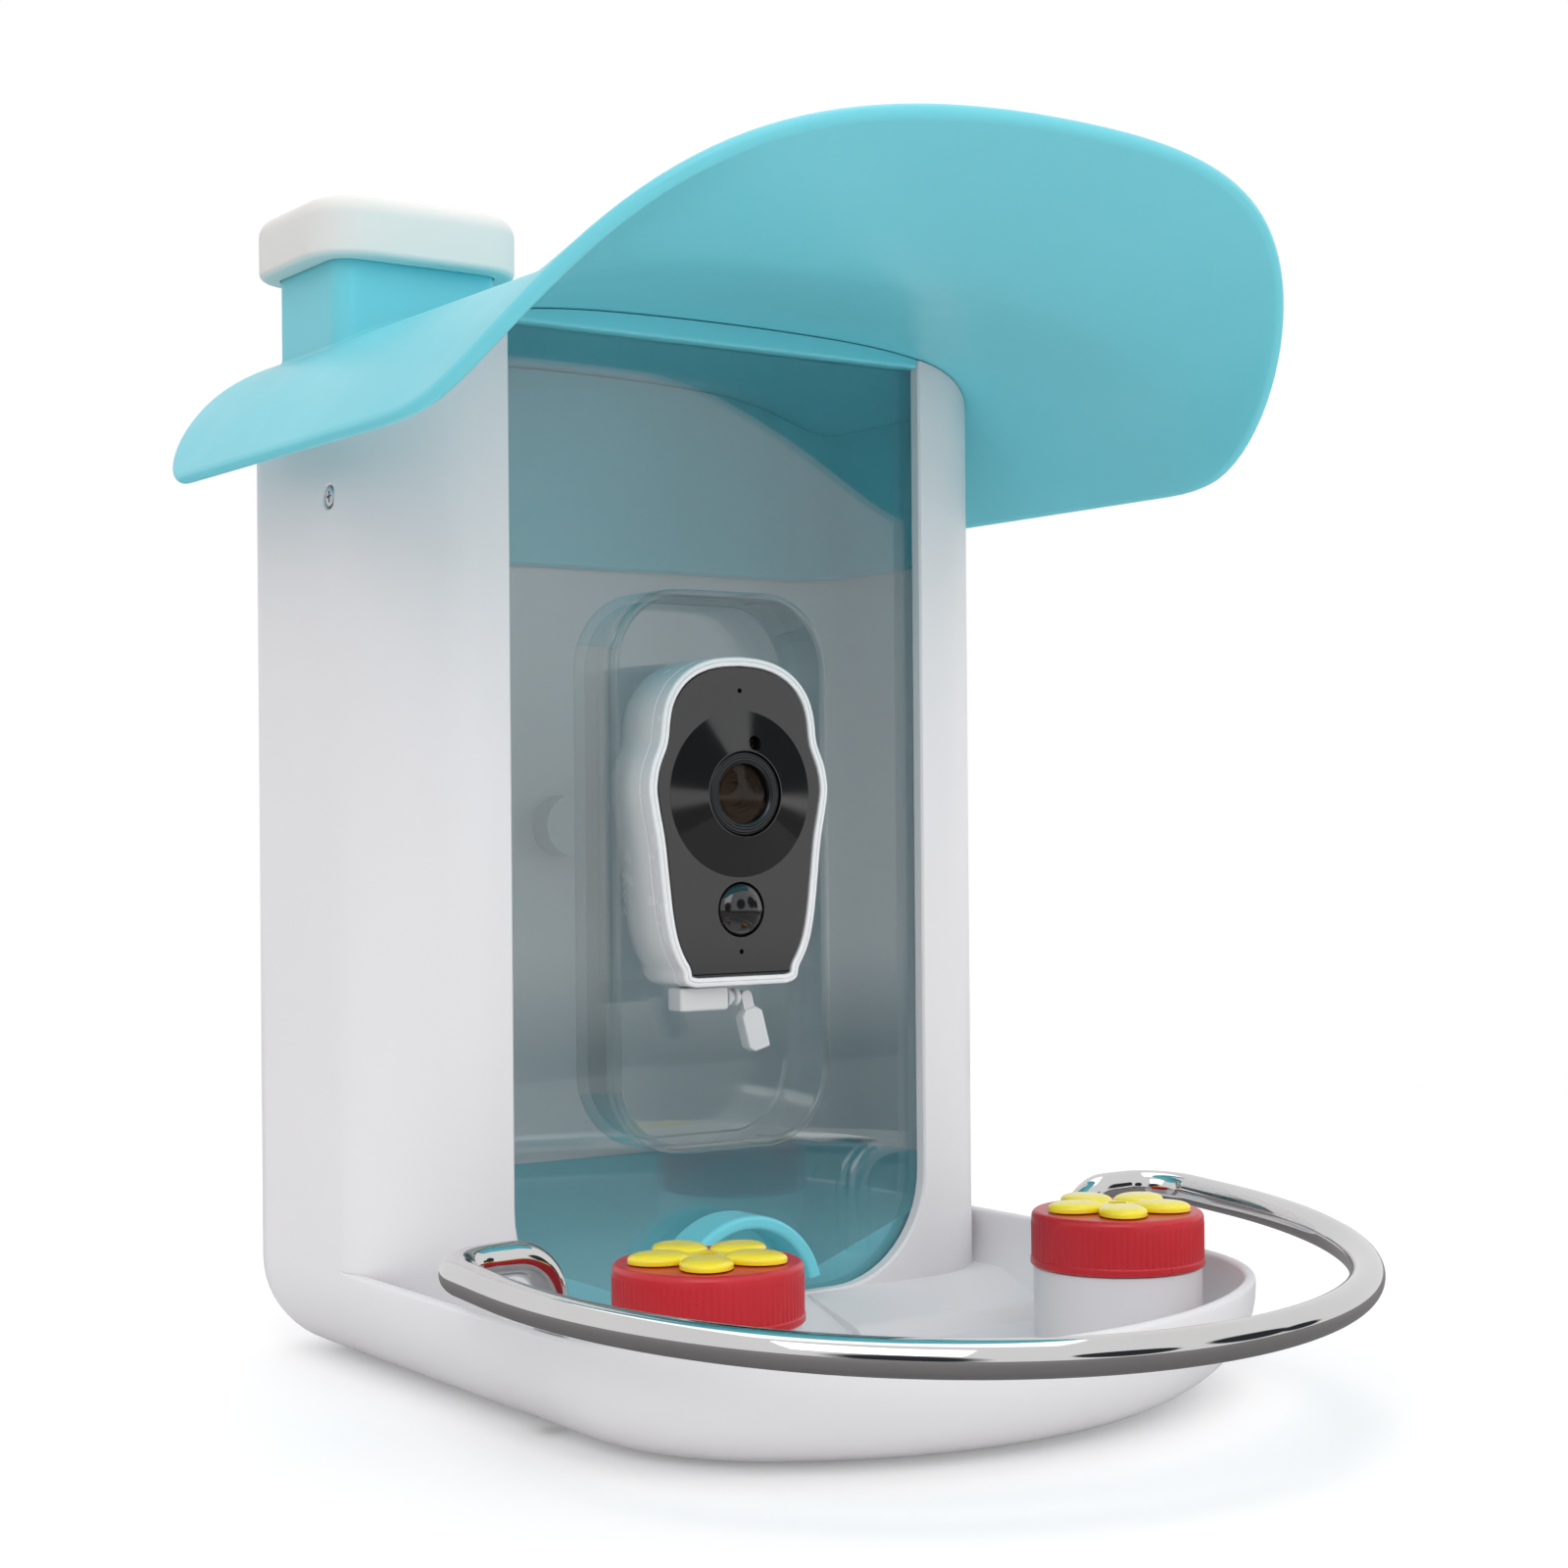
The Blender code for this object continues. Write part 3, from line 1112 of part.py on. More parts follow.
def flower(x, y, word):
    low = LID_TOP_Z + GAP
    blossom = turned([(FLOWER_CENTRE_RADIUS, low),
                      (FLOWER_CENTRE_RADIUS, low + FLOWER_CENTRE_HEIGHT)], SMALL_SEGMENTS)
    for k in range(PETAL_COUNT):
        dome = turned(PETAL_PROFILE_SHARES, PETAL_SEGMENTS)
        moved(dome, Matrix.Diagonal((PETAL_HALF_LENGTH, PETAL_HALF_WIDTH, PETAL_HEIGHT, 1.0)))
        shifted(dome, PETAL_ORBIT, 0.0, low)
        moved(dome, Matrix.Rotation(FIRST_PETAL_ANGLE + 2 * math.pi * k / PETAL_COUNT, 4, "Z"))
        blossom = add(blossom, dome)
    hole = turned([(NECTAR_HOLE_RADIUS, low - CUT_OVERRUN),
                   (NECTAR_HOLE_RADIUS, low + 2 * PETAL_HEIGHT)], TINY_SEGMENTS)
    blossom = cut(blossom, hole)
    shifted(blossom, x, y, 0.0)
    return piece("flower_" + word, blossom, "petal_yellow", (x, y, low))


# Camera

def post_places():
    half = CAMERA_HEIGHT / 2
    return [(sx * CAMERA_HALF_WIDTH, CAMERA_MIDDLE_Z + sz * half) for sx, sz in POST_SHARES]


def seam_y():
    return CAMERA_FACE_Y + BEZEL_DEPTH


def board_back_y():
    return CAMERA_FACE_Y + BOARD_BACK_FROM_FACE


def camera_rear_case():
    seam = seam_y() + GAP
    round_depth = min(CAMERA_REAR_ROUND, (CAMERA_REAR_Y - seam) / 2)
    levels = [(0.0, seam), (0.0, CAMERA_REAR_Y - round_depth)]
    for i in range(1, ROUND_STEPS + 1):
        angle = math.pi / 2 * i / ROUND_STEPS
        levels.append((round_depth * (1 - math.cos(angle)) * CAMERA_ROUND_SHARE,
                       CAMERA_REAR_Y - round_depth * (1 - math.sin(angle))))
    shell = loft([camera_ring(0.0, d, y) for d, y in levels])
    inner_levels = [(0.0, seam - CUT_OVERRUN)] + [(d, y - CAMERA_WALL) for d, y in levels[1:]]
    room = loft([camera_ring(CAMERA_WALL, d, y) for d, y in inner_levels])
    shell = cut(shell, room)
    for x, z in post_places():
        post = cylinder_y(x, z, POST_RADIUS, seam, CAMERA_REAR_Y - POST_END_DEPTH, TINY_SEGMENTS)
        shell = add(shell, post)
    mount_z = CAMERA_MIDDLE_Z - MOUNT_BELOW_MIDDLE
    boss = cylinder_y(0.0, mount_z, MOUNT_SCREW_RADIUS + SCREW_CLEARANCE + MOUNT_BOSS_WALL,
                      CAMERA_REAR_Y - MOUNT_SCREW_GRIP - 2 * CAMERA_WALL, CAMERA_REAR_Y - CAMERA_WALL / 2)
    shell = add(shell, boss)
    mount_hole = cylinder_y(0.0, mount_z, MOUNT_SCREW_RADIUS + SCREW_CLEARANCE,
                            CAMERA_REAR_Y - MOUNT_SCREW_GRIP - GAP, CAMERA_REAR_Y + CUT_OVERRUN)
    shell = cut(shell, mount_hole)
    for x, z in post_places():
        shank = cylinder_y(x, z, CASE_SCREW_RADIUS + SCREW_CLEARANCE, seam - CUT_OVERRUN,
                           CAMERA_REAR_Y + CUT_OVERRUN, TINY_SEGMENTS)
        well = cylinder_y(x, z, CASE_SCREW_HEAD_RADIUS + SCREW_CLEARANCE, screw_seat_y(),
                          CAMERA_REAR_Y + CUT_OVERRUN, TINY_SEGMENTS)
        shell = cut(shell, shank, well)
    button_hole = cylinder_z(BUTTON_X, BUTTON_Y, BUTTON_RADIUS + GAP, CAMERA_BOTTOM_Z - CUT_OVERRUN,
                             CAMERA_BOTTOM_Z + 2 * CAMERA_WALL)
    flange_room = cylinder_z(BUTTON_X, BUTTON_Y, BUTTON_RADIUS + BUTTON_FLANGE + 2 * GAP,
                             CAMERA_BOTTOM_Z + CAMERA_WALL, CAMERA_BOTTOM_Z + 3 * CAMERA_WALL)
    shell = cut(shell, button_hole, flange_room)
    return piece("camera_rear_case", shell, "camera_white")


def screw_seat_y():
    """The depth at which a case screw's head sits in its well."""
    return CAMERA_REAR_Y - CAMERA_WALL - CAMERA_REAR_ROUND / 2


def camera_case_screws():
    for number, (x, z) in enumerate(post_places(), 1):
        head = cylinder_y(x, z, CASE_SCREW_HEAD_RADIUS, screw_seat_y() + GAP,
                          screw_seat_y() + GAP + CASE_SCREW_HEAD_HEIGHT, TINY_SEGMENTS)
        shank = cylinder_y(x, z, CASE_SCREW_RADIUS, seam_y() - BEZEL_LIP / 2,
                           screw_seat_y() + GAP + CASE_SCREW_HEAD_HEIGHT / 2, TINY_SEGMENTS)
        piece("camera_case_screw_%d" % number, add(head, shank), "steel", (x, screw_seat_y(), z))


def camera_front_bezel():
    outer = camera_outline()
    inner = camera_outline(BEZEL_WIDTH)
    seat = camera_outline(BEZEL_WIDTH + BEZEL_LIP)
    back = seam_y()
    lip_front = back - BEZEL_LIP
    ring = loft([at_depth(outer, CAMERA_FACE_Y), at_depth(outer, back), at_depth(seat, back),
                 at_depth(seat, lip_front), at_depth(inner, lip_front), at_depth(inner, CAMERA_FACE_Y)],
                closed=True)
    for x, z in post_places():
        lug = cylinder_y(x, z, POST_RADIUS, lip_front + GAP / 3, back - GAP / 3, TINY_SEGMENTS)
        ring = add(ring, lug)
    for x, z in post_places():
        hole = cylinder_y(x, z, CASE_SCREW_RADIUS + SCREW_CLEARANCE, lip_front + GAP,
                          back + CUT_OVERRUN, TINY_SEGMENTS)
        ring = cut(ring, hole)
    return piece("camera_front_bezel", ring, "camera_white")


def camera_face_panel():
    front = CAMERA_FACE_Y + FACE_SINK
    back = min(front + FACE_THICKNESS, seam_y() - BEZEL_LIP - GAP)
    sheet = prism_y(camera_outline(BEZEL_WIDTH + GAP), front, back)
    dish = turned([(DISH_RADIUS, CUT_OVERRUN), (DISH_RADIUS, 0.0), (LENS_RING_RADIUS, -DISH_DEPTH)])
    moved(dish, Matrix.Translation((0.0, front, LENS_Z)) @ Matrix.Rotation(math.pi / 2, 4, "X"))
    openings = [
        (0.0, LENS_Z, LENS_RING_RADIUS + GAP, ROUND_SEGMENTS),
        (LIGHT_SENSOR_X, LENS_Z + LIGHT_SENSOR_ABOVE_LENS, LIGHT_SENSOR_RADIUS + GAP, TINY_SEGMENTS),
        (0.0, LENS_Z - PIR_BELOW_LENS, PIR_RADIUS + GAP, ROUND_SEGMENTS),
        (0.0, LENS_Z + MICROPHONE_ABOVE_LENS, MICROPHONE_HOLE_RADIUS, TINY_SEGMENTS),
        (0.0, LENS_Z - STATUS_HOLE_BELOW_LENS, MICROPHONE_HOLE_RADIUS, TINY_SEGMENTS),
    ]
    holes = [cylinder_y(x, z, radius, front - CUT_OVERRUN, back + CUT_OVERRUN, segments)
             for x, z, radius, segments in openings]
    return piece("camera_face_panel", cut(sheet, dish, *holes), "camera_black")


def face_front_y():
    return CAMERA_FACE_Y + FACE_SINK


def turned_facing_front(profile, x, z, segments=ROUND_SEGMENTS, closed=False):
    """A turned piece on an axis along Y: the profile's heights are world Y."""
    mesh = turned([(r, -y) for r, y in profile], segments, closed)
    return moved(mesh, Matrix.Translation((x, 0.0, z)) @ Matrix.Rotation(math.pi / 2, 4, "X"))


def camera_optics():
    front = face_front_y() - LENS_RING_STAND_OUT + FACE_SINK
    back = board_front_y() - GAP
    bore = LENS_GLASS_RADIUS + GAP
    chamfer = LENS_RING_STAND_OUT / 4
    shelf = front + LENS_GLASS_SINK + LENS_GLASS_THICKNESS + GAP
    pupil = BARREL_RADIUS + GAP
    ring = turned_facing_front([
        (bore, shelf), (bore, front), (LENS_RING_RADIUS - chamfer, front),
        (LENS_RING_RADIUS, front + chamfer), (LENS_RING_RADIUS, back), (pupil, back),
        (pupil, shelf)], 0.0, LENS_Z, closed=True)
    glass_front = front + LENS_GLASS_SINK
    glass = turned_facing_front([
        (LENS_GLASS_RADIUS * LENS_CROWN_SHARE, glass_front - LENS_GLASS_SINK / 2),
        (LENS_GLASS_RADIUS * LENS_SHOULDER_SHARE, glass_front),
        (LENS_GLASS_RADIUS, glass_front + LENS_GLASS_SINK / 2),
        (LENS_GLASS_RADIUS, glass_front + LENS_GLASS_THICKNESS)], 0.0, LENS_Z)
    barrel = turned_facing_front([(BARREL_RADIUS, glass_front + LENS_GLASS_THICKNESS + GAP),
                                  (BARREL_RADIUS, board_front_y() - GAP)], 0.0, LENS_Z, SMALL_SEGMENTS)
    piece("lens_ring", ring, "dark_plastic", (0.0, front, LENS_Z))
    piece("lens_glass", glass, "lens_glass", (0.0, glass_front, LENS_Z))
    piece("image_sensor_barrel", barrel, "dark_plastic", (0.0, glass_front, LENS_Z))
    sensor_z = LENS_Z + LIGHT_SENSOR_ABOVE_LENS
    sensor = cylinder_y(LIGHT_SENSOR_X, sensor_z, LIGHT_SENSOR_RADIUS, face_front_y() + DISH_DEPTH / 2,
                        board_front_y() - GAP, TINY_SEGMENTS)
    piece("light_sensor", sensor, "lens_glass", (LIGHT_SENSOR_X, face_front_y(), sensor_z))


def motion_sensor():
    z = LENS_Z - PIR_BELOW_LENS
    base = face_front_y() + PIR_FLANGE
    profile = []
    for i in range(DOME_STEPS):
        angle = math.pi / 2 * (i + DOME_TOP_SHARE) / DOME_STEPS
        profile.append((PIR_RADIUS * math.sin(angle), base - PIR_DOME_HEIGHT * math.cos(angle)))
    profile += [(PIR_RADIUS, base), (PIR_RADIUS, base + FACE_THICKNESS)]
    dome = turned_facing_front(profile, 0.0, z)
    can = turned_facing_front([(PIR_CAN_RADIUS, base + FACE_THICKNESS + GAP),
                               (PIR_CAN_RADIUS, board_front_y() - GAP)], 0.0, z, SMALL_SEGMENTS)
    piece("pir_dome", dome, "camera_black", (0.0, base, z))
    piece("pir_sensor", can, "steel", (0.0, base, z))


def board_front_y():
    return board_back_y() - BOARD_THICKNESS


def camera_inside():
    back = board_back_y()
    middle = CAMERA_MIDDLE_Z
    board = prism_y(rounded_rectangle(0.0, middle - BOARD_BELOW_MIDDLE, BOARD_HALF_WIDTH,
                                      BOARD_HALF_HEIGHT, POST_RADIUS, SMALL_CORNER_STEPS),
                    board_front_y(), back)
    battery_z = middle + BATTERY_ABOVE_MIDDLE
    front = back + GAP
    battery = prism_y(rounded_rectangle(0.0, battery_z, BATTERY_HALF_WIDTH, BATTERY_HALF_HEIGHT,
                                        POST_RADIUS, SMALL_CORNER_STEPS),
                      front, front + BATTERY_THICKNESS)
    piece("camera_main_board", board, "circuit_green")
    piece("battery_cell", battery, "battery_wrap")


def camera_mount_screw():
    z = CAMERA_MIDDLE_Z - MOUNT_BELOW_MIDDLE
    seat = POCKET_BACK_Y + POCKET_WALL + GAP
    tip = CAMERA_REAR_Y - MOUNT_SCREW_GRIP
    knob = cylinder_y(0.0, z, MOUNT_KNOB_RADIUS, seat, seat + MOUNT_KNOB_THICKNESS, ROUND_SEGMENTS)
    shank = cylinder_y(0.0, z, MOUNT_SCREW_RADIUS, tip, seat + MOUNT_KNOB_THICKNESS / 2)
    return piece("camera_mount_screw", add(knob, shank), "brass", (0.0, seat, z))


def power_button():
    low = CAMERA_BOTTOM_Z - BUTTON_PROUD
    ledge = CAMERA_BOTTOM_Z + CAMERA_WALL + GAP
    top = ledge + BUTTON_FLANGE_THICKNESS
    wide = BUTTON_RADIUS + GAP + BUTTON_FLANGE
    stem = turned([(BUTTON_RADIUS, low), (BUTTON_RADIUS, ledge), (wide, ledge), (wide, top)],
                  SMALL_SEGMENTS)
    shifted(stem, BUTTON_X, BUTTON_Y, 0.0)
    return piece("power_button", stem, "rubber_white", (BUTTON_X, BUTTON_Y, low))


def plug_axis_z():
    return CAMERA_BOTTOM_Z - GAP - PLUG_HEIGHT / 2


def port_plug():
    z = plug_axis_z()
    half = PLUG_LENGTH / 2
    block = box((PLUG_MIDDLE_X - half, PLUG_Y - PLUG_DEPTH / 2, z - PLUG_HEIGHT / 2),
                (PLUG_MIDDLE_X + half, PLUG_Y + PLUG_DEPTH / 2, z + PLUG_HEIGHT / 2))
    end = PLUG_MIDDLE_X + half
    profile = [(PLUG_TAIL_RADIUS, end - PLUG_RIB_SPACING)]
    for k in range(PLUG_RIB_COUNT):
        start = end + PLUG_RIB_SPACING + k * (PLUG_RIB_WIDTH + PLUG_RIB_SPACING)
        profile += [(PLUG_TAIL_RADIUS, start), (PLUG_RIB_RADIUS, start),
                    (PLUG_RIB_RADIUS, start + PLUG_RIB_WIDTH),
                    (PLUG_TAIL_RADIUS, start + PLUG_RIB_WIDTH)]
    profile.append((PLUG_TAIL_RADIUS, end + PLUG_TAIL_LENGTH))
    tail = turned(profile, TINY_SEGMENTS)
    moved(tail, Matrix.Translation((0.0, PLUG_Y, z)) @ Matrix.Rotation(math.pi / 2, 4, "Y"))
    return piece("port_plug", add(block, tail), "rubber_white", (PLUG_MIDDLE_X, PLUG_Y, z))


def port_cover():
    """A strap and a thick flap that hang from the plug's tail and swing about it."""
    x = PLUG_MIDDLE_X + PLUG_LENGTH / 2 + PLUG_TAIL_LENGTH + GAP + COVER_STRAP_WIDTH / 2
    z = plug_axis_z()
    thick = COVER_THICKNESS / 2
    strap = prism_y(half_round(COVER_STRAP_WIDTH / 2, 0.0, CORNER_STEPS,
                               -COVER_STRAP_LENGTH - COVER_CHAMFER), -thick / 2, thick / 2)
    top = -COVER_STRAP_LENGTH
    low = top - COVER_LENGTH
    wide = COVER_HALF_WIDTH
    nick = COVER_CHAMFER
    flap_outline = [(-wide, low + nick), (-wide + nick, low), (wide, low), (wide, top - nick),
                    (wide - nick, top), (-wide + nick, top), (-wide, top - nick)]
    flap = add(strap, prism_y(flap_outline, -thick, thick))
    moved(flap, Matrix.Rotation(-COVER_TILT, 4, "Y"))
    shifted(flap, x, PLUG_Y, z)
    return piece("port_cover", flap, "rubber_white", (x, PLUG_Y, z))


def mount_insert():
    back = COLUMN_DEPTH - GAP
    front = COLUMN_DEPTH - INSERT_LENGTH
    sleeve = turned_facing_front([(INSERT_BORE_RADIUS, front), (INSERT_BORE_RADIUS, back),
                                  (INSERT_RADIUS, back), (INSERT_RADIUS, front)],
                                 0.0, INSERT_HEIGHT, SMALL_SEGMENTS, closed=True)
    return piece("mount_insert", sleeve, "brass", (0.0, back, INSERT_HEIGHT))


def main():
    clear_scene()
    housing()
    roof()
    roof_collar()
    roof_screws()
    filler_cap()
    window_panel()
    seed_hood()
    seed_ramp()
    perch()
    for side, word in SIDES:
        cup_set(side, word)
    camera_rear_case()
    camera_front_bezel()
    camera_face_panel()
    camera_optics()
    motion_sensor()
    camera_inside()
    camera_case_screws()
    camera_mount_screw()
    power_button()
    port_plug()
    port_cover()
    mount_insert()


main()
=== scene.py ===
"""The looks of the smart bird feeder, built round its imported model. Metres, +Z up, front at -Y.

Every moulded piece is remodelled here with fine curves and rounded edges in the place of its CAD
solid, and every surface gets a procedural material. The seed ramp and the small pieces inside keep
the meshes of their CAD solids.
"""
import math

import bmesh
import bpy
from mathutils import Matrix, Vector


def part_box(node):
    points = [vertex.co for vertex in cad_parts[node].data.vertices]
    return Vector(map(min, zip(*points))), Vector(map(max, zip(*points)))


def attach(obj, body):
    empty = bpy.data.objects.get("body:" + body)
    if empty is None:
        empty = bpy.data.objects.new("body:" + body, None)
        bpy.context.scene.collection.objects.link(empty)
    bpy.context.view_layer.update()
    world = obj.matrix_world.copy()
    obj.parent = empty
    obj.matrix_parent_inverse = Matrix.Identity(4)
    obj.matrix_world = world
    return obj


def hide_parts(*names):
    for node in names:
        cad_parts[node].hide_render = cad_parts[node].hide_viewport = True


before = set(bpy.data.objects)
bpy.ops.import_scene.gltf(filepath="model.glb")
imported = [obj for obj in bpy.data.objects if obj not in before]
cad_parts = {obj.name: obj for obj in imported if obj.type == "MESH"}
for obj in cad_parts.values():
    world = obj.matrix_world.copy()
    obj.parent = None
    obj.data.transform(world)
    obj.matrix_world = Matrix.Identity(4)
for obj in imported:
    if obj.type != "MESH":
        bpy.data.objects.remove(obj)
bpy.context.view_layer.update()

SIDES = ((-1, "left"), (1, "right"))

# Fits and fineness
GAP = 0.0003
OVERRUN = 0.004
LEAST = 0.0004
MERGE_DISTANCE = 0.0000001
SMOOTH_ANGLE = math.radians(34)
ROUND = 96
SMALL_ROUND = 40
CORNER = 14
EDGE = 4

# Sizes that the frame gives
HOUSING_LOW, HOUSING_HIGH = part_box("housing")
HALF_WIDTH = HOUSING_HIGH[0]
COLUMN_DEPTH = HOUSING_HIGH[1]
TRAY_FRONT = -HOUSING_LOW[1]
PANEL_LOW, PANEL_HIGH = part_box("window_panel")
CUP_LOW, CUP_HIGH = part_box("nectar_cup_right")
LID_LOW, LID_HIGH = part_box("lid_right")
FLOWER_LOW, FLOWER_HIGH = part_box("flower_right")
CAP_LOW, CAP_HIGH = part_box("filler_cap")
BEZEL_LOW, BEZEL_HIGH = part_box("camera_front_bezel")
CASE_LOW, CASE_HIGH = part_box("camera_rear_case")
RING_LOW, RING_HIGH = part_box("lens_ring")
GLASS_LOW, GLASS_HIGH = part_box("lens_glass")
DOME_LOW, DOME_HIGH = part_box("pir_dome")
PLUG_LOW, PLUG_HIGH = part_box("port_plug")
RAIL_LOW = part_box("perch_rail")[0]
HOOD_LOW, HOOD_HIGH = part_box("seed_hood")
INSERT_LOW, INSERT_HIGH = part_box("mount_insert")

# Housing and tray
WALL = 0.0032
FLOOR_TOP = 0.0030
REAR_CORNER_RADIUS = 0.0165
LEAST_CORNER_RADIUS = 0.0040
FOOT_ROUND_HEIGHT = 0.0234
FOOT_ROUND_WIDTH = 0.0256
FOOT_STEPS = 14
TRAY_FRONT_RADIUS = 0.1103
TRAY_CORNER_RADIUS = 0.0579
TRAY_ARC_STEPS = 60
RIM_HEIGHT = 0.0259
RIM_THICKNESS = 0.0025
RIM_ROUND = 0.0011
RIM_FADE = 0.0060
COLUMN_FILLET = 0.0030
LEDGE_LENGTH = 0.0210
LEDGE_FRONT_RISE = 0.0042
LEDGE_TOE = 0.0035
# Where the ledge's front turns, as shares of its length and of its front's rise
LEDGE_FRONT_SHARES = ((0.88, 1.13), (0.97, 0.97), (1.04, 0.74))
CHUTE_HALF_WIDTH = 0.0220
SIDE_STATIONS = [0.0010, 0.0025, 0.0045, 0.0070, 0.0120, 0.0300, 0.0600]

# Window, panel and pocket
WINDOW_HALF_WIDTH = 0.0593
WINDOW_CORNER_RADIUS = 0.0270
WINDOW_EDGE = 0.0005
FRONT_CORNER_RADIUS = HALF_WIDTH - WINDOW_HALF_WIDTH - 0.0014
SILL_Z = 0.0127
PANEL_THICKNESS = 0.0022
PANEL_FRONT_Y = WALL + GAP
PANEL_BACK_Y = PANEL_FRONT_Y + PANEL_THICKNESS
POCKET_HALF_WIDTH = 0.0314
POCKET_HALF_HEIGHT = 0.0676
POCKET_CORNER_RADIUS = 0.0190
POCKET_WALL = 0.0022
POCKET_MIDDLE_Z = 0.1169
POCKET_BEAD_ROUND = 0.0008

# Roof
ROOF_UNDER_HEIGHT = 0.2490
ROOF_DROP = 0.0381
ROOF_HALF_WIDTH = 0.1081
ROOF_SHOULDER_POWER = 5.2
ROOF_CROWN_SHARE = 0.133
ROOF_THICKNESS = 0.0034
ROOF_REAR_OVERHANG = 0.0084
ROOF_REAR_CORNER_RADIUS = 0.0271
VISOR_LIFT_START = 0.0529
VISOR_SIDE_LENGTH = 0.0374
VISOR_REACH = 0.0888
VISOR_LIFT_EASE = 0.0206
VISOR_SLOPE = 0.295
VISOR_OUTLINE_POWER = 2.33
ROOF_COLUMNS = 44
ROOF_ROWS = 56
HEAD_BAND_HEIGHT = 0.0053
COLLAR_HEIGHT = 0.0523
COLLAR_WALL = 0.0025
COLLAR_CLEARANCE = 0.0004

# Filler neck and cap
NECK_MIDDLE_X = (CAP_LOW[0] + CAP_HIGH[0]) / 2
NECK_MIDDLE_Y = (CAP_LOW[1] + CAP_HIGH[1]) / 2
NECK_HALF_WIDTH = 0.0215
NECK_HALF_DEPTH = 0.0180
NECK_CORNER_RADIUS = 0.0050
NECK_WALL = 0.0025
NECK_TOP = 0.2697
NECK_FLARE = 0.0010
NECK_FLARE_LIFT_SHARE = 0.15
CAP_CORNER_RADIUS = 0.0130
CAP_TOP_ROUND = 0.0045
CAP_FOOT_ROUND = 0.0015
SEAL_FIT = 0.0004
SEAL_THICKNESS = 0.0018
SEAL_RIB_SHARES = (0.15, 0.30, 0.45, 0.60, 0.75)

# Roof screws
ROOF_SCREW_Y = 0.0312
ROOF_SCREW_Z = 0.2045
SCREW_RECESS_RADIUS = 0.0028
SCREW_RECESS_DEPTH = 0.0014
SCREW_HEAD_RADIUS = 0.0024
SCREW_HEAD_HEIGHT = 0.0009
SCREW_SLOT_HALF_LENGTH = 0.0013
SCREW_SLOT_HALF_WIDTH = 0.0003

# Seed hood
OUTLET_RADIUS = 0.0185
HOOD_WALL = 0.0032
HOOD_END_RISE = 0.0058
HOOD_ROUND = 0.0011

# Perch rail
RAIL_RADIUS = 0.00375
RAIL_SIDE_REACH = 0.0116
RAIL_FRONT_REACH = 0.0358
RAIL_ARC_START = 0.0650
RAIL_TOP_Z = 0.0374
RAIL_FRONT_DROP = 0.0075
RAIL_LEG_X = HALF_WIDTH - 0.0158
RAIL_LEG_Y = 0.0410
RAIL_LEG_BEND = 0.0095
RAIL_SIDE_BEND = 0.0125
RAIL_SIDES = 40
RAIL_ARC_STEPS = 140
RAIL_BEND_STEPS = 14
RAIL_SOCKET_WALL = 0.0028
RAIL_SOCKET_DEPTH = 0.0022
RAIL_SCREW_HEAD_RADIUS = 0.0029
RAIL_SCREW_SEAT_Z = 0.0060

# Nectar cups
CUP_X = (LID_LOW[0] + LID_HIGH[0]) / 2
CUP_Y = (LID_LOW[1] + LID_HIGH[1]) / 2
CUP_RADIUS = (CUP_HIGH[0] - CUP_LOW[0]) / 2
CUP_SEAT_Z = CUP_LOW[2] - GAP
CUP_SHOULDER_Z = LID_LOW[2] - GAP
CUP_WALL = 0.0018
CUP_BOSS_HEIGHT = 0.0025
CUP_BOSS_INSET = 0.0045
# The cup's thread: shares of the neck's height, each with how far the thread stands out there
CUP_THREAD_SHARES = ((0.20, 0.0), (0.30, 1.0), (0.40, 0.0), (0.55, 0.0), (0.65, 1.0), (0.75, 0.0))
LID_RADIUS = (LID_HIGH[0] - LID_LOW[0]) / 2
LID_WALL = 0.0018
LID_TOP = 0.0020
LID_ROUND = 0.0014
LID_RIB_COUNT = 84
LID_RIB_DEPTH = 0.00022
LID_RIB_END_SHARE = 1.6
LID_COLLAR_HEIGHT = 0.0016
NECTAR_HOLE_RADIUS = 0.0021
PETAL_COUNT = 5
PETAL_ORBIT = 0.0103
PETAL_HALF_LENGTH = 0.0066
PETAL_HALF_WIDTH = 0.0055
FIRST_PETAL_ANGLE = math.radians(-125)
PETAL_STEPS = 10
PETAL_EDGE_SHARE = 0.28
PETAL_FLAT_SHARE = 0.12
PETAL_ROUND_POWER = 0.55
PETAL_RISE_POWER = 0.9
# The flower's low centre: radii, each at a share of the petals' height
BLOSSOM_PROFILE = ((0.0056, 0.0), (0.0056, 0.40), (0.0050, 0.52), (0.0030, 0.57))

# Camera
CAMERA_HALF_WIDTH = 0.0258
CAMERA_HEIGHT = 0.0787
CAMERA_FACE_Y = BEZEL_LOW[1]
CAMERA_SEAM_Y = BEZEL_HIGH[1]
CAMERA_REAR_Y = CASE_HIGH[1]
CAMERA_BOTTOM_Z = BEZEL_LOW[2]
CAMERA_MIDDLE_Z = CAMERA_BOTTOM_Z + CAMERA_HEIGHT / 2
BEZEL_WIDTH = 0.0022
FACE_SINK = 0.0004
FACE_THICKNESS = 0.0021
BEZEL_GROOVE = 0.0011
BEZEL_OUTER_ROUND = 0.0007
BEZEL_INNER_ROUND = 0.0004
BEZEL_LIP = 0.0012
CASE_ROUND = 0.0085
CASE_WALL = 0.0020
MOUNT_SCREW_HOLE_RADIUS = 0.0035
BUTTON_HOLE_RADIUS = 0.0028
BUTTON_RADIUS = 0.0025
BUTTON_ROUND = 0.0006
BUTTON_LEDGE = 0.0010
CONE_RADIUS = 0.0200
CONE_TOP_RADIUS = 0.0107
CONE_RISE = 0.0023
